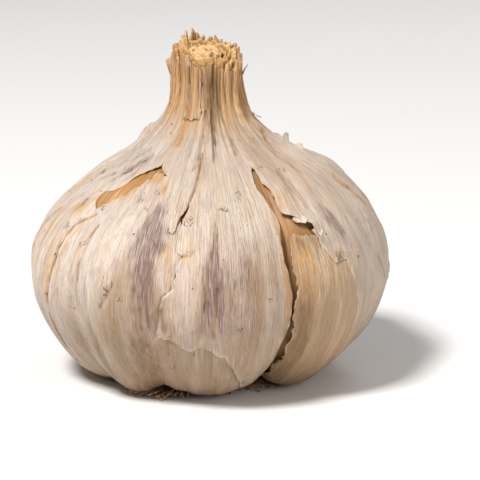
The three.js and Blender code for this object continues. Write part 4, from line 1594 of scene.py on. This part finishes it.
@dataclass
class RootPlate:
    """The corky root plate with what is left of the roots.

    Attributes:
        radius: millimetres.
        flat_radius: of the flat spot underneath.
        top: its upper height.
        roots: how many trimmed roots it has all round.
        tufts: longer roots in the furrows, (bearing, half width in degrees, reach, how many).
        sides: sides of a root.
        rings: rings of vertices along it.
    """

    radius: float = 7.2
    flat_radius: float = 4.6
    top: float = 4.7
    roots: int = 190
    tufts: tuple[tuple[float, float, float, int], ...] = (
        (-26.0, 14.0, 21.4, 90), (28.0, 10.0, 17.6, 30), (150.0, 9.0, 17.0, 24), (229.0, 8.0, 16.5, 20),
    )
    sides: int = 5
    rings: int = 7

    def plate(self) -> Shape:
        """Work out the plate: its profile turned round the axis, roughened away from the flat.

        Returns:
            The shape.
        """
        bearing = np.linspace(0, 360, 120, endpoint=False)
        profile = np.array([
            (0.6, 0), (2.5, 0), (self.flat_radius, 0), (5.4, 0.35), (self.radius - 1, 0.9), (6.9, 1.6),
            (self.radius, 2.2), (7.1, 3.4), (self.radius - 0.3, self.top), (3.0, self.top),
        ])
        radius, b = np.meshgrid(profile[:, 0], bearing, indexing="ij")
        z = np.broadcast_to(profile[:, 1:2], radius.shape)
        rough = torn_line(b * 0.13, 3, ((1.1, 0.35), (0.4, 0.2))) * smooth(4.6, 7.0, radius) * (z < 4)
        rough = rough * np.sin(np.radians(b) / 2) ** 0.5
        rings = ring_points(b, radius - np.abs(rough), z)
        return closed_rings(rings, np.zeros(3), np.array([0, 0, self.top]), rings, {"tip": 0 * z})

    def roots_shape(self) -> Shape:
        """Work out the trimmed roots: bent tapering stalks from the plate's edge outwards under the
        cloves, each a golden angle, 137.5 degrees, on from the last, and the tufts.

        Returns:
            The shape.
        """
        rng = np.random.default_rng(8)
        bearing = np.arange(self.roots) * 137.5 + rng.uniform(-4, 4, self.roots)
        reach = 8.2 + rng.uniform(0, 3.5, self.roots)
        for middle, half_width, longest, count in self.tufts:
            bearing = np.concatenate([bearing, middle + rng.uniform(-1, 1, count) * half_width])
            reach = np.concatenate([reach, longest - rng.uniform(0, 5, count)])
        total = len(bearing)
        start_radius = rng.uniform(4.4, 6.6, total)
        start_z = 0.7 + 0.5 * (start_radius - 4.4)
        end_z = rng.uniform(0.15, 1.0, total)
        sway = rng.uniform(-9, 9, total)
        share = np.linspace(0, 1, self.rings)[None, :, None]
        turned = np.radians(np.arange(self.sides) * 360.0 / self.sides)[None, None, :]
        thick = rng.uniform(0.15, 0.3, total)[:, None, None] * (1 - 0.45 * share)
        run = start_radius[:, None, None] + (reach - start_radius)[:, None, None] * share
        kinks = rng.uniform(-0.35, 0.35, (total, self.rings))[:, :, None] * share
        away = bearing[:, None, None] + sway[:, None, None] * share**1.6 + kinks * 5
        height = start_z[:, None, None] + (end_z - start_z)[:, None, None] * share**0.7 + 0.5 * kinks
        angle = np.radians(away)
        x = run * np.sin(angle) + thick * np.cos(turned) * np.cos(angle)
        y = -run * np.cos(angle) + thick * np.cos(turned) * np.sin(angle)
        z = np.maximum(height + thick * np.sin(turned), 0.03)
        points = np.stack(np.broadcast_arrays(x, y, z), axis=-1)
        one = grid_quads(self.rings, self.sides, wrapped=True)[:, ::-1]
        ends = np.array([[0, corner, corner + 1] for corner in range(1, self.sides - 1)])
        fans = np.concatenate([ends, ends[:, ::-1] + (self.rings - 1) * self.sides])
        starts = (np.arange(total) * self.rings * self.sides)[:, None, None]
        tips = np.broadcast_to(share, points.shape[:3])
        return Shape(
            points.reshape(-1, 3), (one[None] + starts).reshape(-1, 4),
            (fans[None] + starts).reshape(-1, 3), points.reshape(-1, 3), {"tip": tips.ravel()},
        )

    def shape(self) -> Shape:
        """Put the plate and its roots together."""
        return Shape.joined([self.plate(), self.roots_shape()])


class Nodes:
    """Adds nodes to one tree and joins them."""

    def __init__(self, tree: Tree) -> None:
        """Start with an empty tree."""
        self.tree = tree
        tree.nodes.clear()

    def add(self, kind: str, inputs: Mapping[str | int, object] | None = None, **settings: object) -> Node:
        """Add a node.

        Args:
            kind: the node's type.
            inputs: a value, or a socket to join, for each input.
            settings: the node's own properties, set before its inputs.

        Returns:
            The node.
        """
        node = self.tree.nodes.new(kind)
        for key, value in settings.items():
            setattr(node, key, value)
        for key, value in (inputs or {}).items():
            if isinstance(value, Socket):
                self.tree.links.new(value, node.inputs[key])
            else:
                node.inputs[key].default_value = value
        return node

    def math(self, operation: str, *values: object) -> Socket:
        """Add a Math node for some inputs and give its result."""
        return self.add("ShaderNodeMath", dict(enumerate(values)), operation=operation).outputs[0]

    def times(self, first: object, second: object) -> Socket:
        """Multiply two numbers."""
        return self.math("MULTIPLY", first, second)

    def mix(self, share: object, first: object, second: object) -> Socket:
        """Mix two colours.

        Args:
            share: how much of the second.
            first: a colour or socket.
            second: a colour or socket.

        Returns:
            The mixed colour.
        """
        pair = [given if isinstance(given, Socket) else (*given, 1) for given in (first, second)]
        inputs = {0: share, 6: pair[0], 7: pair[1]}
        return self.add("ShaderNodeMix", inputs, data_type="RGBA").outputs[2]

    def between(self, value: object, low: object, high: object) -> Socket:
        """Rise smoothly from 0 to 1 between two values of a socket."""
        inputs = {"Value": value, "From Min": low, "From Max": high}
        return self.add("ShaderNodeMapRange", inputs, interpolation_type="SMOOTHSTEP").outputs[0]

    def group(self, group: Tree, **inputs: object) -> Socket:
        """Place a shared node group, with a value or socket for each input, and give its output."""
        return self.add("ShaderNodeGroup", inputs, node_tree=group).outputs[0]

    def attribute(self, name: str, vector: bool = False) -> Socket:
        """Read a value or a vector that the mesh carries."""
        node = self.add("ShaderNodeAttribute", attribute_name=name)
        return node.outputs["Vector" if vector else "Fac"]


def new_group(name: str, defaults: Mapping[str, float]) -> Tree:
    """Make a shader node group that reads a Vector and named numbers and gives a Value.

    Args:
        name: the group's name.
        defaults: default value of each number that it reads.

    Returns:
        The group.
    """
    group = bpy.data.node_groups.new(name, "ShaderNodeTree")
    group.interface.new_socket("Vector", in_out="INPUT", socket_type="NodeSocketVector")
    for label, default in defaults.items():
        socket = group.interface.new_socket(label, in_out="INPUT", socket_type="NodeSocketFloat")
        socket.default_value = default
    group.interface.new_socket("Value", in_out="OUTPUT", socket_type="NodeSocketFloat")
    return group


@dataclass(frozen=True)
class Effects:
    """The node groups that more than one finish uses.

    Attributes:
        grain: noise drawn out along the fibres.
        ragged: a soft mask broken up along the fibres.
        specks: small round dark specks.
    """

    grain: Tree
    ragged: Tree
    specks: Tree

    @staticmethod
    def make() -> "Effects":
        """Build each group once.

        Returns:
            The groups.
        """
        grain = Effects.make_grain()
        return Effects(grain, Effects.make_ragged(grain), Effects.make_specks())

    @staticmethod
    def make_ragged(grain: Tree) -> Tree:
        """Build the ragged mask: Mask * (0.3 + 1.4 n), sharpened round a half, where n is the mean
        of a fine long grain and a coarser short one.

        Args:
            grain: the grain's group.

        Returns:
            The group.
        """
        group = new_group("ragged_mask", {"Mask": 0.0, "Soft": 0.3})
        nodes = Nodes(group)
        given = nodes.add("NodeGroupInput").outputs
        long = nodes.group(grain, Vector=given["Vector"], Width=0.28, Stretch=10.0, Contrast=0.16)
        short = nodes.group(grain, Vector=given["Vector"], Width=0.9, Stretch=2.4, Contrast=0.16)
        noise = nodes.times(nodes.math("ADD", long, short), 0.7)
        broken = nodes.times(given["Mask"], nodes.math("ADD", noise, 0.3))
        low = nodes.math("SUBTRACT", 0.5, given["Soft"])
        high = nodes.math("ADD", 0.5, given["Soft"])
        nodes.add("NodeGroupOutput", {"Value": nodes.between(broken, low, high)})
        return group

    @staticmethod
    def make_grain() -> Tree:
        """Build the grain: noise on the fibres' own coordinates, divided by Width across them and
        by Width * Stretch along them, and spread out by Contrast round its middle.

        Returns:
            The group.
        """
        group = new_group("fibre_grain", {"Width": 0.5, "Stretch": 20.0, "Contrast": 0.2})
        nodes = Nodes(group)
        given = nodes.add("NodeGroupInput").outputs
        across = nodes.math("DIVIDE", 1.0, given["Width"])
        along = nodes.math("DIVIDE", across, given["Stretch"])
        scale = nodes.add("ShaderNodeCombineXYZ", {"X": across, "Y": across, "Z": along}).outputs[0]
        place = nodes.add("ShaderNodeVectorMath", {0: given["Vector"], 1: scale}, operation="MULTIPLY")
        noise = nodes.add(
            "ShaderNodeTexNoise",
            {"Vector": place.outputs[0], "Scale": 1.0, "Detail": 3.0, "Distortion": 0.5},
        )
        low = nodes.math("SUBTRACT", 0.5, given["Contrast"])
        high = nodes.math("ADD", 0.5, given["Contrast"])
        spread = nodes.add(
            "ShaderNodeMapRange", {"Value": noise.outputs[0], "From Min": low, "From Max": high}
        )
        nodes.add("NodeGroupOutput", {"Value": spread.outputs[0]})
        return group

    @staticmethod
    def make_specks() -> Tree:
        """Build the specks: the middles of some cells of a Voronoi pattern, Spacing apart, where
        the distance to the middle is under Size and the cell's random number is over Bare.

        Returns:
            The group.
        """
        group = new_group("dark_specks", {"Spacing": 2.0, "Size": 0.12, "Bare": 0.6})
        nodes = Nodes(group)
        given = nodes.add("NodeGroupInput").outputs
        scale = nodes.math("DIVIDE", 1 / MM, given["Spacing"])
        cells = nodes.add("ShaderNodeTexVoronoi", {"Vector": given["Vector"], "Scale": scale})
        size = nodes.math("DIVIDE", given["Size"], given["Spacing"])
        near = nodes.math("LESS_THAN", cells.outputs["Distance"], size)
        picked = nodes.add("ShaderNodeSeparateColor", {"Color": cells.outputs["Color"]})
        kept = nodes.math("GREATER_THAN", picked.outputs[0], given["Bare"])
        nodes.add("NodeGroupOutput", {"Value": nodes.times(near, kept)})
        return group


class Finish:
    """A material made of nodes, ending in a Principled BSDF."""

    name = "finish"

    def material(self, effects: Effects) -> Material:
        """Make the material.

        Args:
            effects: the shared node groups.

        Returns:
            The material.
        """
        made = bpy.data.materials.new(self.name)
        made.use_nodes = True
        nodes = Nodes(made.node_tree)
        shader = self.shader(nodes, effects)
        nodes.add("ShaderNodeOutputMaterial", {"Surface": shader.outputs[0]})
        return made

    def shader(self, nodes: Nodes, effects: Effects) -> Node:
        """Add the nodes of the finish and give its shader.

        Args:
            nodes: the material's nodes.
            effects: the shared node groups.

        Returns:
            The shader.
        """
        raise NotImplementedError

    @staticmethod
    def surface(
        nodes: Nodes, colour: Socket, rough: object, height: Socket, depth: float, strength: float
    ) -> Node:
        """Add a bump and the shader over it.

        Args:
            nodes: the material's nodes.
            colour: its colour.
            rough: its roughness.
            height: what the bump follows.
            depth: metres that the bump's full height stands for.
            strength: how strong the bump is, 0 to 1.

        Returns:
            The Principled BSDF.
        """
        bump = nodes.add("ShaderNodeBump", {"Height": height, "Distance": depth, "Strength": strength})
        inputs = {"Base Color": colour, "Roughness": rough, "Normal": bump.outputs[0]}
        return nodes.add("ShaderNodeBsdfPrincipled", inputs)


@dataclass(frozen=True)
class PaperFinish(Finish):
    """Dry leaf: pale, with fibres along it, purple streaks, ochre tears, dark specks, brown stains with
    painted shade, painted shade with older tan, and a lip that is partly painted highlight.

    Attributes:
        name: the material's name.
        pale: colour of its lightest fibres.
        warm: colour of its darker fibres.
        shade_and_age: colour of painted shade and older skin, laid on the shaded side and underneath.
        thread: colour of the thin dark fibres.
    """

    name: str = "dry_wrapper_leaf"
    pale: Colour = (0.83, 0.735, 0.66)
    warm: Colour = (0.69, 0.535, 0.41)
    shade_and_age: Colour = (0.385, 0.235, 0.125)
    thread: Colour = (0.36, 0.24, 0.16)
    purple: Colour = (0.27, 0.16, 0.155)
    dark_purple: Colour = (0.11, 0.06, 0.06)
    ochre: Colour = (0.66, 0.36, 0.13)
    brown_and_shade: Colour = (0.27, 0.15, 0.06)
    grey: Colour = (0.58, 0.49, 0.44)
    white: Colour = (0.93, 0.86, 0.78)
    yellow: Colour = (0.80, 0.66, 0.44)
    neck: Colour = (0.95, 0.58, 0.26)
    neck_dark: Colour = (0.56, 0.23, 0.05)
    cream: Colour = (0.95, 0.76, 0.50)
    speck: Colour = (0.09, 0.06, 0.04)

    def shader(self, nodes: Nodes, effects: Effects) -> Node:
        """Lay the fibres over each other, then the marks that the mesh carries, then the specks.

        Args:
            nodes: the material's nodes.
            effects: the shared node groups.

        Returns:
            The shader.
        """
        fibre = nodes.attribute("fibre", vector=True)
        between = nodes.between
        place = nodes.add("ShaderNodeTexCoord").outputs["Object"]

        def grain(width: float, stretch: float, contrast: float) -> Socket:
            """Place the grain on the fibres."""
            return nodes.group(effects.grain, Vector=fibre, Width=width, Stretch=stretch, Contrast=contrast)

        broad = grain(3.2, 5.0, 0.22)
        middle = grain(0.9, 12.0, 0.26)
        fine = grain(0.3, 30.0, 0.24)
        dash = grain(0.15, 18.0, 0.16)
        patch = grain(2.2, 1.5, 0.2)
        fleck = grain(0.7, 2.4, 0.25)

        def worn(mark: str, soft: float) -> Socket:
            """Break up a mark that the mesh carries."""
            return nodes.group(effects.ragged, Vector=fibre, Mask=nodes.attribute(mark), Soft=soft)

        def lay(colour: object, share: object, most: float, over: Colour) -> Socket:
            """Lay a colour over another."""
            return nodes.mix(nodes.times(share, most), colour, over)

        colour = lay(self.pale, between(middle, 0.1, 0.9), 0.6, self.warm)
        colour = lay(colour, between(broad, 0.2, 0.9), 0.5, self.warm)
        colour = lay(colour, between(patch, 0.45, 1.0), 0.6, self.grey)
        colour = lay(colour, between(patch, 0.4, -0.1), 0.4, self.yellow)
        # Painted shade and older tan, on the shaded side and underneath.
        shade_and_age = nodes.times(nodes.attribute("shade_and_age"), between(broad, -1.0, 1.2))
        colour = lay(colour, shade_and_age, 0.95, self.shade_and_age)
        strips = nodes.mix(between(middle, 0.2, 0.9), self.neck, self.neck_dark)
        strips = lay(strips, between(broad, 0.45, 0.0), 0.7, self.cream)
        colour = nodes.mix(nodes.times(worn("neck", 0.5), 0.95), colour, strips)
        flecks = nodes.times(between(fleck, 0.8, 1.0), between(patch, 0.2, 0.8))
        colour = lay(colour, flecks, 0.45, self.ochre)
        colour = lay(colour, worn("ochre", 0.5), 0.82, self.ochre)
        purple = worn("purple", 0.5)
        colour = lay(colour, purple, 0.6, self.purple)
        # Brown stains, and painted shade in grooves, folds and slits.
        colour = lay(colour, worn("brown_and_shade", 0.45), 0.85, self.brown_and_shade)
        threads = nodes.times(between(fine, 0.5, 1.0), between(broad, -0.3, 0.9))
        colour = lay(colour, threads, 0.5, self.thread)
        dark_dash = nodes.times(between(dash, 0.7, 1.0), between(middle, 0.0, 1.0))
        colour = lay(colour, dark_dash, 0.5, self.thread)
        stained = nodes.times(between(dash, 0.4, 0.7), between(purple, 0.25, 0.9))
        colour = lay(colour, stained, 0.6, self.dark_purple)
        bright = nodes.times(between(dash, 0.3, 0.0), between(fine, 0.6, 0.1))
        bright = nodes.times(bright, between(nodes.attribute("brown_and_shade"), 0.7, 0.1))
        colour = lay(colour, bright, 0.5, self.white)
        # Pale lip: the thin edge's own whitish colour, partly painted highlight.
        colour = lay(colour, nodes.attribute("lip"), 0.75, self.white)
        blotch = grain(0.3, 1.3, 0.2)
        thick = nodes.times(between(blotch, 0.5, 0.75), nodes.attribute("speck"))
        colour = lay(colour, between(thick, 0.3, 0.6), 0.85, self.speck)
        specks = nodes.group(effects.specks, Vector=place, Spacing=1.9, Size=0.2, Bare=0.84)
        dust = nodes.group(effects.specks, Vector=place, Spacing=0.7, Size=0.13, Bare=0.7)
        dusty = nodes.times(dust, between(fleck, 0.55, 0.8))
        colour = lay(colour, specks, 0.75, self.speck)
        colour = lay(colour, dusty, 0.6, self.speck)
        height = nodes.math("ADD", nodes.times(fine, -0.7), nodes.times(dash, -0.5))
        height = nodes.math("ADD", height, nodes.times(middle, -0.5))
        rough = nodes.add("ShaderNodeMapRange", {"Value": middle, "To Min": 0.38, "To Max": 0.6})
        return self.surface(nodes, colour, rough.outputs[0], height, 0.0005, 0.75)


@dataclass(frozen=True)
class InnerSkinFinish(Finish):
    """The inner skin: ochre to tan, glossier than the wrapper leaves, darkened in part as painted shade in
    the cracks, with a paler copy as painted light where it lies open and painted shade at the sheaths' feet.
    """

    name: str = "tan_inner_skin"
    light: Colour = (0.44, 0.24, 0.09)
    dark: Colour = (0.24, 0.11, 0.035)
    painted_lit_pale: Colour = (0.52, 0.27, 0.09)
    painted_lit_dark: Colour = (0.34, 0.15, 0.04)
    thread: Colour = (0.25, 0.12, 0.04)
    rim: Colour = (0.72, 0.45, 0.18)

    def shader(self, nodes: Nodes, effects: Effects) -> Node:
        """Mix two browns by the grain, with thin dark fibres, a paler copy as painted light where the skin
        lies open, and painted shade at the sheaths' feet.

        Args:
            nodes: the material's nodes.
            effects: the shared node groups.

        Returns:
            The shader.
        """
        fibre = nodes.attribute("fibre", vector=True)
        middle = nodes.group(effects.grain, Vector=fibre, Width=1.2, Stretch=12.0, Contrast=0.2)
        fine = nodes.group(effects.grain, Vector=fibre, Width=0.35, Stretch=26.0, Contrast=0.18)
        colour = nodes.mix(middle, self.light, self.dark)
        # Painted light: a paler copy of the skin, for where it lies open.
        lit = nodes.mix(middle, self.painted_lit_pale, self.painted_lit_dark)
        colour = nodes.mix(nodes.attribute("open_painted_light"), colour, lit)
        colour = nodes.mix(nodes.times(nodes.attribute("neck"), 0.7), colour, self.rim)
        # Painted shade towards the sheaths' feet, in the recesses between them.
        colour = nodes.mix(nodes.times(nodes.attribute("deep"), 0.85), colour, self.dark)
        colour = nodes.mix(nodes.times(nodes.between(fine, 0.5, 1.0), 0.5), colour, self.thread)
        height = nodes.math("ADD", fine, middle)
        rough = nodes.add("ShaderNodeMapRange", {"Value": fine, "To Min": 0.35, "To Max": 0.6})
        return self.surface(nodes, colour, rough.outputs[0], height, 0.00015, 0.6)


@dataclass(frozen=True)
class PithFinish(Finish):
    """The stalk's cut pith: dry, fibrous and pitted."""

    name: str = "dry_pith"
    light: Colour = (0.80, 0.54, 0.29)
    dark: Colour = (0.50, 0.27, 0.10)
    pit_shade: Colour = (0.14, 0.07, 0.03)

    def shader(self, nodes: Nodes, effects: Effects) -> Node:
        """Mix two tans by a grain that runs across the cut, painted near black in the pits as shade.

        Args:
            nodes: the material's nodes.
            effects: the shared node groups.

        Returns:
            The shader.
        """
        fibre = nodes.attribute("fibre", vector=True)
        turned = nodes.add("ShaderNodeMapping", {"Vector": fibre, "Rotation": (0.0, 1.2, 0.3)})
        grain = nodes.group(effects.grain, Vector=turned.outputs[0], Width=0.35, Stretch=6.0, Contrast=0.2)
        colour = nodes.mix(grain, self.light, self.dark)
        # Painted shade in the pits.
        colour = nodes.mix(nodes.attribute("pit_shade"), colour, self.pit_shade)
        return self.surface(nodes, colour, 0.85, grain, 0.0002, 0.8)


@dataclass(frozen=True)
class RootFinish(Finish):
    """The corky root plate and the dry roots."""

    name: str = "dry_roots"
    light: Colour = (0.36, 0.21, 0.11)
    dark: Colour = (0.11, 0.055, 0.025)
    tip: Colour = (0.52, 0.34, 0.19)

    def shader(self, nodes: Nodes, effects: Effects) -> Node:
        """Mix two browns by a coarse grain, paler at the cut tips.

        Args:
            nodes: the material's nodes.
            effects: the shared node groups.

        Returns:
            The shader.
        """
        fibre = nodes.attribute("fibre", vector=True)
        grain = nodes.group(effects.grain, Vector=fibre, Width=0.7, Stretch=1.5, Contrast=0.2)
        colour = nodes.mix(grain, self.light, self.dark)
        colour = nodes.mix(nodes.times(nodes.attribute("tip"), 0.5), colour, self.tip)
        return self.surface(nodes, colour, 0.9, grain, 0.0003, 0.8)


@dataclass(frozen=True)
class FloorFinish(Finish):
    """The pale studio floor."""

    name: str = "pale_floor"
    colour: Colour = (0.78, 0.78, 0.78)

    def shader(self, nodes: Nodes, effects: Effects) -> Node:
        """Mix two near whites by a broad noise.

        Args:
            nodes: the material's nodes.
            effects: the shared node groups; not used.

        Returns:
            The shader.
        """
        place = nodes.add("ShaderNodeTexCoord").outputs["Object"]
        noise = nodes.add("ShaderNodeTexNoise", {"Vector": place, "Scale": 3.0})
        darker = tuple(channel * 0.97 for channel in self.colour)
        colour = nodes.mix(noise.outputs[0], self.colour, darker)
        return nodes.add("ShaderNodeBsdfPrincipled", {"Base Color": colour, "Roughness": 0.8})


@dataclass
class Studio:
    """Camera, lights and floor.

    Attributes:
        target: the point that the camera looks at, in millimetres.
        drop: millimetres that the camera is then moved down by, unturned.
        elevation: degrees above the horizon.
        distance: millimetres from that point.
        lens: millimetres, for a 36 mm sensor.
        floor_width: metres.
    """

    target: Point = (5.3, 0.0, 27.0)
    drop: float = 4.97
    elevation: float = 14.0
    distance: float = 450.0
    lens: float = 203.5
    floor_width: float = 6.0

    def camera(self) -> None:
        """Make the camera: its place is the target, less a drop along its own up axis, plus the
        distance backwards."""
        data = bpy.data.cameras.new("camera")
        data.lens, data.sensor_width = self.lens, 36.0
        data.clip_start, data.clip_end = 0.01, 20.0
        camera = bpy.data.objects.new("camera", data)
        bpy.context.scene.collection.objects.link(camera)
        angle = np.radians(self.elevation)
        back = Vector((0, -np.cos(angle), np.sin(angle)))
        up = Vector((0, np.sin(angle), np.cos(angle)))
        camera.location = (Vector(self.target) - up * self.drop + back * self.distance) * MM
        camera.rotation_euler = (-back).to_track_quat("-Z", "Y").to_euler()
        bpy.context.scene.camera = camera

    def light(self, name: str, place: Point, size: float, power: float, colour: Colour) -> None:
        """Hang a square soft light that faces the bulb.

        Args:
            name: its name.
            place: millimetres.
            size: width in millimetres.
            power: watts.
            colour: its colour.
        """
        data = bpy.data.lights.new(name, "AREA")
        data.energy, data.size, data.color = power, size * MM, colour
        lamp = bpy.data.objects.new(name, data)
        lamp.location = Vector(place) * MM
        aim = Vector((0, 0, 25 * MM)) - lamp.location
        lamp.rotation_euler = aim.to_track_quat("-Z", "Y").to_euler()
        bpy.context.scene.collection.objects.link(lamp)

    def build(self, effects: Effects) -> None:
        """Make the floor, the lights and the pale surroundings.

        Args:
            effects: the shared node groups.
        """
        self.light("key", (-300, -330, 700), size=200, power=9.0, colour=(1.0, 0.98, 0.95))
        self.light("fill", (560, -420, 330), size=500, power=2.0, colour=(1.0, 0.95, 0.90))
        self.light("back", (250, 450, 500), size=300, power=1.0, colour=(1.0, 1.0, 1.0))
        half = self.floor_width / 2
        corners = np.array([(-half, -half, 0), (half, -half, 0), (half, half, 0), (-half, half, 0)])
        finish = FloorFinish().material(effects)
        floor = Shape(corners / MM, np.array([[0, 1, 2, 3]])).to_object("floor", finish)
        world = bpy.data.worlds.new("studio")
        world.use_nodes = True
        nodes = Nodes(world.node_tree)
        sky = nodes.add("ShaderNodeBackground", {"Color": (1.0, 1.0, 1.0, 1.0), "Strength": 0.2})
        nodes.add("ShaderNodeOutputWorld", {"Surface": sky.outputs[0]})
        bpy.context.scene.world = world
        bpy.context.scene.view_settings.view_transform = "Standard"


def dress(shape: Shape, name: str, material: Material, node: str | None) -> None:
    """Put a finished piece on the bulb and report it.

    Args:
        shape: its mesh.
        name: its name.
        material: its finish.
        node: the solid it stands for, or nothing.
    """
    piece = shape.to_object(name, material)
    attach(piece, "root")
    if node:
        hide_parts(node)
    LOG.info("%s: %d vertices, %d faces", name, len(piece.data.vertices), len(piece.data.polygons))


def main() -> None:
    """Build the studio and every piece."""
    logging.basicConfig(level=logging.INFO, format="%(message)s")
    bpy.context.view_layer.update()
    studio = Studio()
    studio.camera()
    effects = Effects.make()
    studio.build(effects)
    paper = {
        Slot.WRAPPER: PaperFinish().material(effects),
        Slot.UNDER_WRAPPER: PaperFinish(
            name="older_wrapper_leaf", pale=(0.75, 0.56, 0.37), warm=(0.55, 0.36, 0.20)
        ).material(effects),
    }
    inner = InnerSkinFinish().material(effects)
    skin = InnerSkin()
    dress(skin.shape(), "inner_skin", inner, "cloves_in_inner_skin")
    dress(skin.sheaths_shape(), "neck_sheaths", inner, None)
    dress(Stalk().shape(), "stalk_pith", PithFinish().material(effects), "stalk")
    dress(RootPlate().shape(), "roots", RootFinish().material(effects), "root_plate")
    base = PaperFinish(name="base_wrapper_leaf", pale=(0.76, 0.65, 0.55), warm=(0.60, 0.46, 0.34))
    finishes = {"front_base_leaf": base.material(effects)}
    dress(TornFlakes().shape(), "torn_flakes", paper[Slot.WRAPPER], None)
    for pattern in LEAVES:
        finish = finishes.get(pattern.name, paper[pattern.slot])
        dress(WrapperLeaf(pattern).shape(), pattern.name, finish, pattern.node)


if __name__ == "__main__":
    main()
